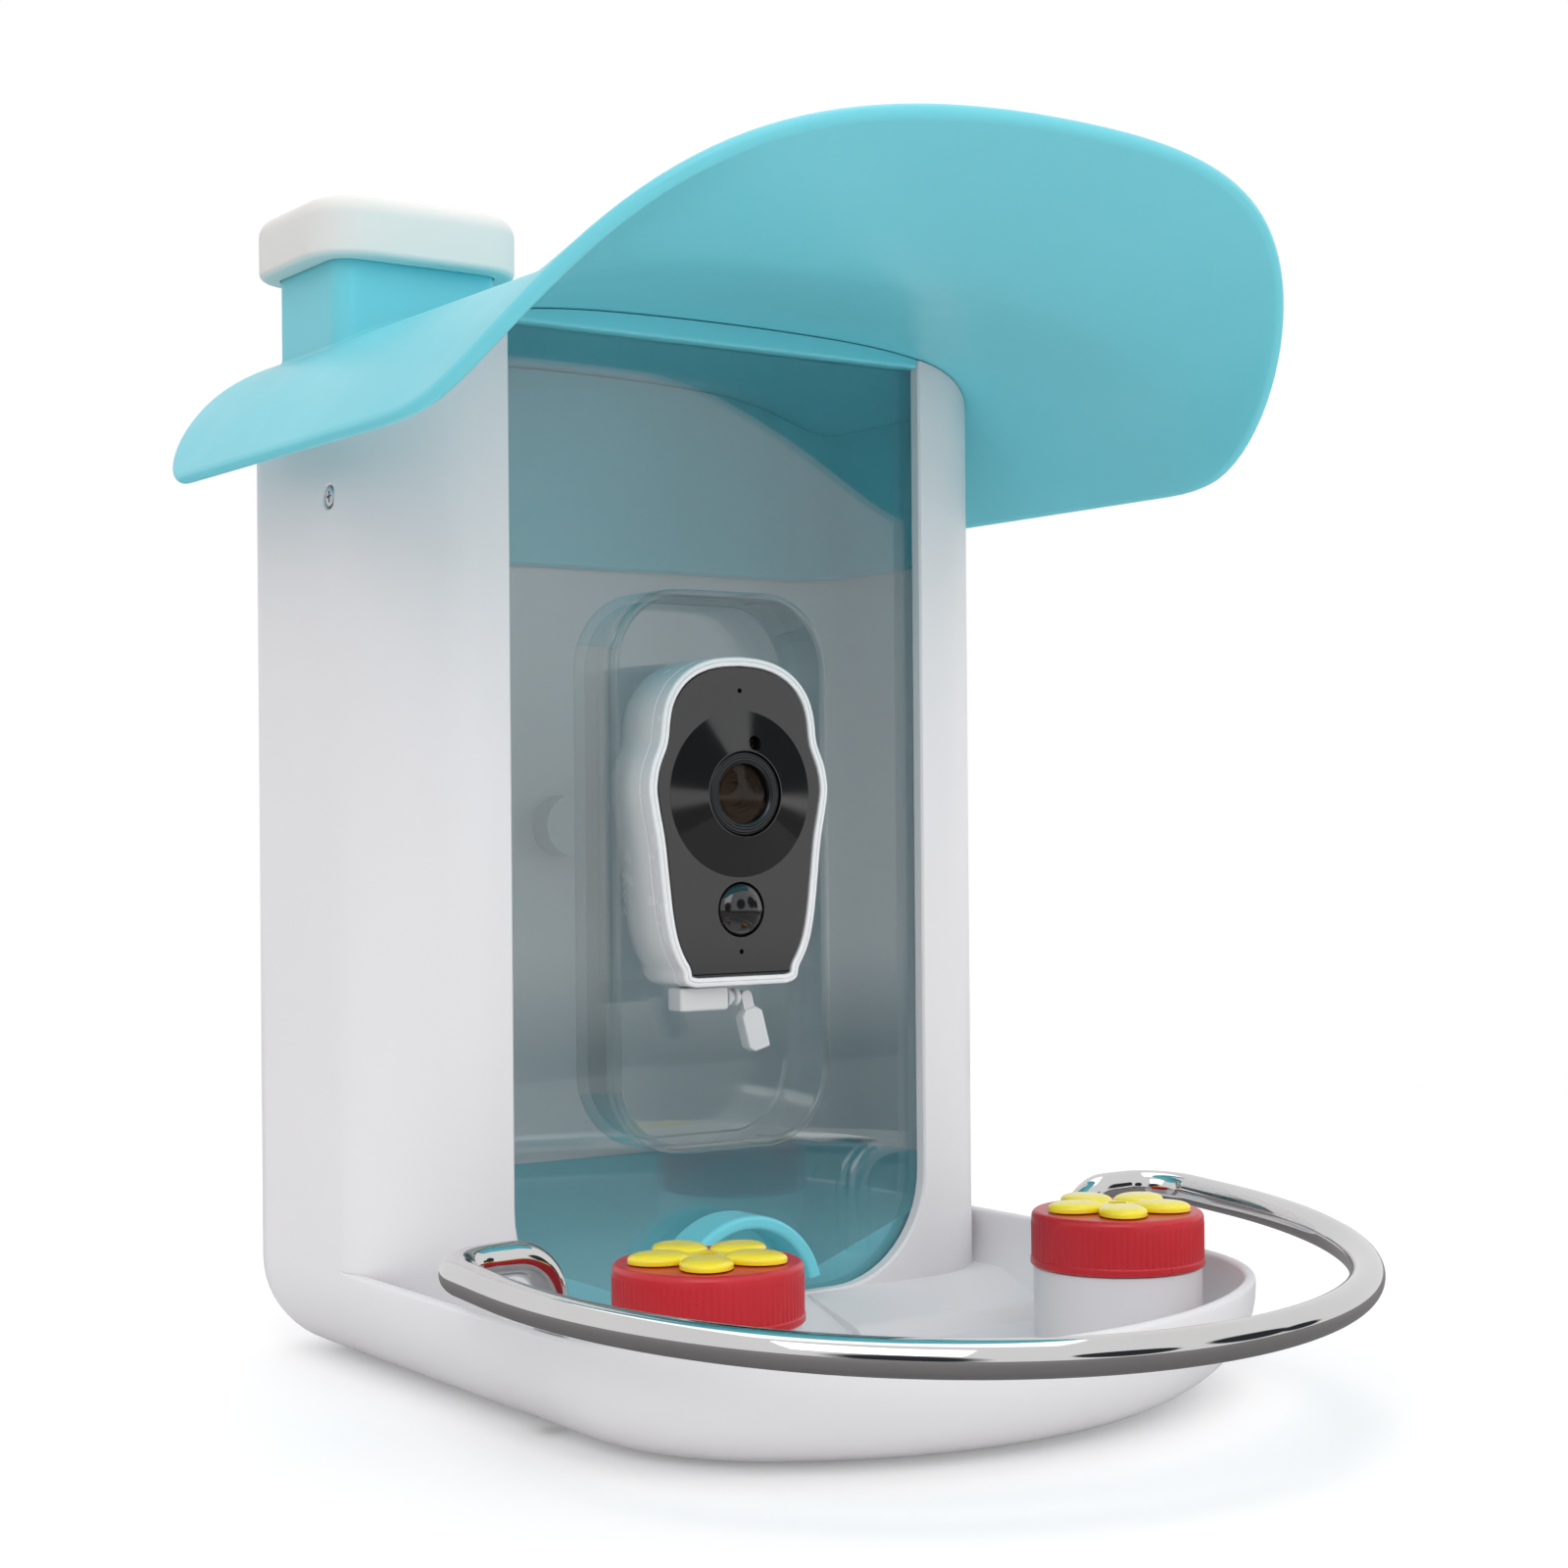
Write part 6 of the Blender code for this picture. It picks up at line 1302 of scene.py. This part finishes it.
# Camera
def camera_outline(distance=0.0):
    """The camera's outline as (x, z) points: a smooth curve with a domed head."""
    shares = list(CAMERA_OUTLINE_SHARES)
    for i in range(CAMERA_HEAD_STEPS):
        a = math.radians(CAMERA_HEAD_START + CAMERA_HEAD_TURN * i / (CAMERA_HEAD_STEPS - 1))
        across = CAMERA_HEAD_WIDTH_SHARE * math.cos(a) ** CAMERA_HEAD_POWER
        up = CAMERA_HEAD_MIDDLE_SHARE + (1 - CAMERA_HEAD_MIDDLE_SHARE) * math.sin(a) ** CAMERA_HEAD_POWER
        shares.append((across, up))
    right = [(across * CAMERA_HALF_WIDTH, CAMERA_BOTTOM_Z + up * CAMERA_HEIGHT) for across, up in shares]
    outline = smooth_closed(right + [(-x, z) for x, z in reversed(right)], CAMERA_SPAN_STEPS)
    outline = [(x, max(z, CAMERA_BOTTOM_Z)) for x, z in outline]
    return inset(outline, distance) if distance else outline


def camera_ring(distance, drawn_in, y):
    """The camera's outline, inset by a wall and drawn in towards its middle, as a ring."""
    across = 1 - drawn_in / CAMERA_HALF_WIDTH
    upright = 1 - drawn_in / (CAMERA_HEIGHT / 2)
    return [Vector((x * across, y, CAMERA_MIDDLE_Z + (z - CAMERA_MIDDLE_Z) * upright))
            for x, z in camera_outline(distance)]


def camera_case():
    """The rear case: a shell with a deep round back, open at the bezel."""
    seam = CASE_LOW[1]
    levels = [(LEAST / 2, seam), (0.0, seam + LEAST / 2)]
    levels += [(drawn_in * CAMERA_ROUND_SHARE, y)
               for drawn_in, y in round_end(CASE_ROUND, CAMERA_REAR_Y, EDGE * 3)]
    shell = loft([camera_ring(0.0, d, y) for d, y in levels])
    levels = [(0.0, seam - OVERRUN)] + [(d, y - CASE_WALL) for d, y in levels[2:]]
    room = loft([camera_ring(CASE_WALL, d, y) for d, y in levels])
    x, y, _ = middle(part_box("power_button"))
    button_hole = cylinder_z(x, y, BUTTON_HOLE_RADIUS, CAMERA_BOTTOM_Z - OVERRUN, CAMERA_BOTTOM_Z + OVERRUN)
    screw_hole = cylinder_y(0.0, middle(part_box("camera_mount_screw"))[2], MOUNT_SCREW_HOLE_RADIUS,
                            CAMERA_REAR_Y - OVERRUN, CAMERA_REAR_Y + OVERRUN)
    body = cut(shell, room, button_hole, screw_hole)
    piece("camera_back_shell", body, "camera_white", "base", "camera_rear_case")


def camera_bezel():
    """The white trim round the face, with a fine groove in its front."""
    front, back = CAMERA_FACE_Y, CAMERA_SEAM_Y
    inside = BEZEL_WIDTH + BEZEL_LIP
    section = [(LEAST / 2, back), (0.0, back - LEAST / 2)]
    section += [(drawn_in, front + short) for drawn_in, short in quarter(BEZEL_OUTER_ROUND)]
    section += [(BEZEL_GROOVE - LEAST / 2, front), (BEZEL_GROOVE, front + LEAST),
                (BEZEL_GROOVE + LEAST / 2, front)]
    section += [(BEZEL_WIDTH - drawn_in, y) for drawn_in, y in round_start(BEZEL_INNER_ROUND, front)]
    section += [(BEZEL_WIDTH, back - BEZEL_LIP), (inside, back - BEZEL_LIP), (inside, back)]
    ring = loft([at_depth(camera_outline(d), y) for d, y in section], closed=True)
    piece("camera_trim_ring", ring, "camera_white", "base", "camera_front_bezel")


def camera_face():
    """The gloss face with the shallow cone that rises round the lens."""
    front = CAMERA_FACE_Y + FACE_SINK
    back = front + FACE_THICKNESS
    edge = LEAST / 2
    fit = BEZEL_WIDTH + GAP
    levels = [(fit + edge, front), (fit, front + edge), (fit, back)]
    sheet = loft([at_depth(camera_outline(d), y) for d, y in levels])
    top = front - CONE_RISE
    cone = facing_front([(CONE_TOP_RADIUS - edge, top), (CONE_TOP_RADIUS, top + edge / 2),
                         (CONE_RADIUS, front - edge / 4), (CONE_RADIUS, back - edge)], 0.0, LENS_Z)
    openings = [(0.0, LENS_Z, LENS_RING_RADIUS + GAP, ROUND), (0.0, PIR_Z, PIR_RADIUS + GAP, ROUND),
                (LIGHT_SENSOR_X, LIGHT_SENSOR_Z, LIGHT_SENSOR_RADIUS + GAP / 2, SMALL_ROUND),
                (0.0, MICROPHONE_Z, SMALL_HOLE_RADIUS, SMALL_ROUND // 2),
                (0.0, STATUS_Z, SMALL_HOLE_RADIUS, SMALL_ROUND // 2)]
    holes = [cylinder_y(x, z, r, top - OVERRUN, back + OVERRUN, segments) for x, z, r, segments in openings]
    piece("camera_gloss_face", cut(add(sheet, cone), *holes), "camera_black", "base", "camera_face_panel")


def camera_optics():
    """The lens surround, its glass and barrel, the light window and the motion dome."""
    front, back = RING_LOW[1] + LENS_SINK, RING_HIGH[1] + LENS_SINK
    bore = LENS_GLASS_RADIUS + GAP
    out = LENS_RING_RADIUS
    width = out - bore
    groove = LEAST / 2
    shelf = GLASS_HIGH[1] + LENS_SINK + GAP
    section = [(bore, shelf), (bore, front + LEAST), (bore + groove, front + groove)]
    for share in RING_GROOVE_SHARES:
        r = bore + width * share
        section += [(r - groove / 2, front), (r, front + groove), (r + groove / 2, front)]
    section += [(out - drawn_in, y) for drawn_in, y in round_start(RING_ROUND, front)]
    section += [(out, back), (RING_BACK_RADIUS, back), (RING_BACK_RADIUS, shelf)]
    ring = facing_front(section, 0.0, LENS_Z, closed=True)
    piece("lens_surround", ring, "dark_plastic", "base", "lens_ring")

    glass_front, glass_back = GLASS_LOW[1] + LENS_SINK, GLASS_HIGH[1] + LENS_SINK
    profile = [(LENS_GLASS_RADIUS * i / GLASS_STEPS, glass_front + GLASS_RISE * (i / GLASS_STEPS) ** 2)
               for i in range(1, GLASS_STEPS + 1)]
    profile += [(LENS_GLASS_RADIUS, glass_back), (GLASS_BACK_RADIUS, glass_back)]
    piece("lens_cover_glass", facing_front(profile, 0.0, LENS_Z), "lens_glass", "base", "lens_glass")

    low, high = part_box("image_sensor_barrel")
    start = low[1] + LENS_SINK
    profile = [(r, start + depth) for r, depth in BARREL_STEPS] + [(BARREL_RADIUS, high[1])]
    piece("lens_barrel", facing_front(profile, 0.0, LENS_Z), "dark_plastic", "base", "image_sensor_barrel")

    low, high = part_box("light_sensor")
    radius = LIGHT_SENSOR_RADIUS - GAP / 2
    profile = [(radius * share, low[1] + depth) for share, depth in SENSOR_STEPS] + [(radius, high[1])]
    window = facing_front(profile, LIGHT_SENSOR_X, LIGHT_SENSOR_Z, SMALL_ROUND)
    piece("light_window", window, "lens_glass", "base", "light_sensor")

    base = DOME_LOW[1] + DOME_HEIGHT
    angles = [math.pi / 2 * (i + DOME_FIRST_STEP) / DOME_STEPS for i in range(DOME_STEPS)]
    profile = [(PIR_RADIUS * math.sin(a), base - DOME_HEIGHT * math.cos(a)) for a in angles]
    profile += [(PIR_RADIUS, base), (PIR_RADIUS, DOME_HIGH[1])]
    piece("motion_dome", facing_front(profile, 0.0, PIR_Z), "camera_black", "base", "pir_dome")


def port_plug():
    """A block with a ribbed tail."""
    low, high = PLUG_LOW, PLUG_HIGH
    cx = (high[0] - PLUG_TAIL + low[0]) / 2
    _, cy, cz = middle((low, high))
    half_x = (high[0] - PLUG_TAIL - low[0]) / 2
    half_y = (high[1] - low[1]) / 2
    levels = round_start(PLUG_ROUND, low[2]) + round_end(PLUG_ROUND, high[2])
    block = loft([at_height(rounded_rectangle(cx, cy, half_x - d, half_y - d, PLUG_ROUND - d, EDGE), z)
                  for d, z in levels])
    start = high[0] - PLUG_TAIL
    profile = [(TAIL_RADIUS, start - PLUG_ROUND)]
    for k in range(TAIL_RIB_COUNT):
        at = start + TAIL_FIRST_RIB + k * TAIL_RIB_PITCH
        profile += [(r, at + along) for r, along in TAIL_RIB]
    profile.append((TAIL_RADIUS, high[0]))
    rod = turned(profile, SMALL_ROUND)
    moved(rod, Matrix.Translation((0.0, cy, cz)) @ Matrix.Rotation(math.pi / 2, 4, "Y"))
    piece("charging_plug", add(block, rod), "rubber_white", "base", "port_plug")


def port_cover():
    """A strap and a thick hanging flap with soft edges, made upright and then tilted."""
    thick = STRAP_THICKNESS
    arch = [(x, z) for x, z, _, _ in arc(0.0, 0.0, STRAP_RADIUS, 0, 180, CORNER)]
    outline = [(STRAP_RADIUS, -STRAP_LENGTH)] + arch + [(-STRAP_RADIUS, -STRAP_LENGTH)]
    strap = prism_y(outline, -thick / 2, thick / 2)
    top, low, wide, nick = FLAP_TOP, FLAP_LOW, FLAP_HALF_WIDTH, FLAP_NICK
    outline = [(-wide, low + nick), (-wide + nick, low), (wide - LEAST, low), (wide, low + LEAST),
               (wide, top - nick), (wide - nick, top), (-wide + nick, top), (-wide, top - nick)]
    levels = round_start(FLAP_ROUND, -thick) + round_end(FLAP_ROUND, thick)
    body = add(strap, loft([at_depth(inset(outline, d), y) for d, y in levels]))
    moved(body, Matrix.Rotation(FLAP_TILT, 4, "Y"))
    _, y, z = middle((PLUG_LOW, PLUG_HIGH))
    shifted(body, PLUG_HIGH[0] + GAP + STRAP_RADIUS, y, z)
    piece("charging_flap", body, "rubber_white", "port_cover", "port_cover")


def power_button():
    """A round cap with a ledge that stays inside the case."""
    low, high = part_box("power_button")
    x, y, _ = middle((low, high))
    wide = (high[0] - low[0]) / 2
    ledge = high[2] - BUTTON_LEDGE
    profile = [(BUTTON_RADIUS - drawn_in, z) for drawn_in, z in round_start(BUTTON_ROUND, low[2])]
    profile += [(BUTTON_RADIUS, ledge), (wide, ledge), (wide, high[2])]
    stem = shifted(turned(profile, SMALL_ROUND), x, y, 0.0)
    piece("button_cap", stem, "rubber_white", "power_button", "power_button")


def mount_insert():
    """A sleeve with a grooved bore."""
    radius = (INSERT_HIGH[0] - INSERT_LOW[0]) / 2
    z = middle((INSERT_LOW, INSERT_HIGH))[2]
    front, back = INSERT_LOW[1], INSERT_HIGH[1]
    bore = INSERT_BORE_RADIUS
    section = [(bore, front)]
    for k in range(INSERT_GROOVES):
        at = front + (back - front) * (k + 0.5) / (INSERT_GROOVES + 1)
        section += [(bore, at), (bore + LEAST, at + LEAST)]
    section += [(bore, back - LEAST * 2), (bore + LEAST, back), (radius - LEAST / 2, back),
                (radius, back - LEAST / 2), (radius, front)]
    sleeve = facing_front(section, 0.0, z, SMALL_ROUND, closed=True)
    piece("threaded_sleeve", sleeve, "brass", "base", "mount_insert")


# The CAD solids that keep their meshes, each with its finish
KEPT = {
    "seed_ramp": "roof_teal", "perch_screw_left": "steel", "perch_screw_right": "steel",
    "lid_gasket_left": "seal_clear", "lid_gasket_right": "seal_clear", "pir_sensor": "steel",
    "camera_main_board": "circuit_green", "battery_cell": "battery_wrap",
    "camera_case_screw_1": "steel", "camera_case_screw_2": "steel", "camera_case_screw_3": "steel",
    "camera_case_screw_4": "steel", "camera_mount_screw": "brass",
}


def finish_kept():
    """Gives the CAD solids that keep their meshes their materials."""
    for name, finish in KEPT.items():
        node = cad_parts[name]
        node.data.materials.clear()
        node.data.materials.append(MATERIALS[finish])


# Stage
def stage():
    """A pale floor, which reflections see darker."""
    material = bpy.data.materials.new("floor_pale")
    material.use_nodes = True
    tree = material.node_tree
    shader = tree.nodes["Principled BSDF"]
    shader.inputs["Roughness"].default_value = FLOOR_ROUGHNESS
    shader.inputs["Emission Color"].default_value = (*WHITE, 1.0)
    glossy = tree.nodes.new("ShaderNodeLightPath").outputs["Is Glossy Ray"]
    tree.links.new(colour_mix(tree, glossy, FLOOR_COLOUR, FLOOR_REFLECTED), shader.inputs["Base Color"])
    tree.links.new(ranged(tree, glossy, 0.0, 1.0, FLOOR_GLOW, 0.0), shader.inputs["Emission Strength"])
    half = FLOOR_HALF_WIDTH
    mesh = bmesh.new()
    corners = ((-half, -half), (half, -half), (half, half), (-half, half))
    mesh.faces.new([mesh.verts.new((x, y, 0.0)) for x, y in corners])
    data = bpy.data.meshes.new("floor")
    mesh.to_mesh(data)
    mesh.free()
    data.materials.append(material)
    floor = bpy.data.objects.new("floor", data)
    bpy.context.collection.objects.link(floor)


def lights():
    """The soft lights of the studio."""
    for name, (place, target, side, power, reflected) in LIGHTS.items():
        data = bpy.data.lights.new(name, "AREA")
        data.energy = power
        data.size = side
        light = bpy.data.objects.new(name, data)
        light.location = place
        light.rotation_euler = (Vector(target) - Vector(place)).to_track_quat("-Z", "Y").to_euler()
        light.visible_glossy = reflected
        bpy.context.collection.objects.link(light)


def studio_world():
    """White where the camera looks past the stage; in reflections a horizon and dark patches."""
    world = bpy.data.worlds.new("studio")
    world.use_nodes = True
    tree = world.node_tree
    place = tree.nodes.new("ShaderNodeTexCoord").outputs["Generated"]
    parts = tree.nodes.new("ShaderNodeSeparateXYZ")
    tree.links.new(place, parts.inputs["Vector"])
    ramp = tree.nodes.new("ShaderNodeValToRGB")
    for stop, (position, shade) in zip(ramp.color_ramp.elements, HORIZON_STOPS):
        stop.position = position
        stop.color = (*shade, 1.0)
    tree.links.new(ranged(tree, parts.outputs["Z"], -1.0, 1.0), ramp.inputs["Fac"])
    covered = None
    for direction, outer, inner in DARK_PATCHES:
        toward = tree.nodes.new("ShaderNodeVectorMath")
        toward.operation = "DOT_PRODUCT"
        toward.inputs[1].default_value = direction
        tree.links.new(place, toward.inputs[0])
        patch = ranged(tree, toward.outputs["Value"], outer, inner)
        if covered is None:
            covered = patch
            continue
        either = tree.nodes.new("ShaderNodeMath")
        either.operation = "MAXIMUM"
        tree.links.new(covered, either.inputs[0])
        tree.links.new(patch, either.inputs[1])
        covered = either.outputs["Value"]
    shaded = colour_mix(tree, covered, ramp.outputs["Color"], PATCH_COLOUR)
    path = tree.nodes.new("ShaderNodeLightPath")
    seen = colour_mix(tree, path.outputs["Is Camera Ray"], shaded, WHITE)
    tree.links.new(seen, tree.nodes["Background"].inputs["Color"])
    bpy.context.scene.world = world
    bpy.context.scene.view_settings.view_transform = "Standard"


def camera():
    """The photograph's camera, solved from the feeder's symmetry."""
    data = bpy.data.cameras.new("photo_camera")
    data.sensor_width = VIEW_SENSOR_WIDTH
    data.lens = VIEW_LENS
    data.shift_y = VIEW_SHIFT
    data.clip_start = VIEW_NEAREST
    made = bpy.data.objects.new("photo_camera", data)
    forward = Vector((math.sin(VIEW_HEADING), math.cos(VIEW_HEADING), 0.0))
    level_right = Vector((math.cos(VIEW_HEADING), -math.sin(VIEW_HEADING), 0.0))
    up = Vector((0.0, 0.0, 1.0))
    right = level_right * math.cos(VIEW_ROLL) + up * math.sin(VIEW_ROLL)
    true_up = up * math.cos(VIEW_ROLL) - level_right * math.sin(VIEW_ROLL)
    axes = zip(right, true_up, -forward, VIEW_PLACE)
    made.matrix_world = Matrix([tuple(row) for row in axes] + [(0.0, 0.0, 0.0, 1.0)])
    bpy.context.collection.objects.link(made)
    bpy.context.scene.camera = made


camera()
stage()
lights()
studio_world()
housing()
roof_screws()
roof()
roof_collar()
filler_cap()
window_panel()
seed_hood()
piece("perch_tube", swept(rail_path(), RAIL_RADIUS, RAIL_SIDES), "chrome", "base", "perch_rail")
for side, word in SIDES:
    lid(side * CUP_X, CUP_Y, word)
    cup(side * CUP_X, CUP_Y, word)
    flower(side * CUP_X, CUP_Y, word)
camera_case()
camera_bezel()
camera_face()
camera_optics()
port_plug()
port_cover()
power_button()
mount_insert()
finish_kept()
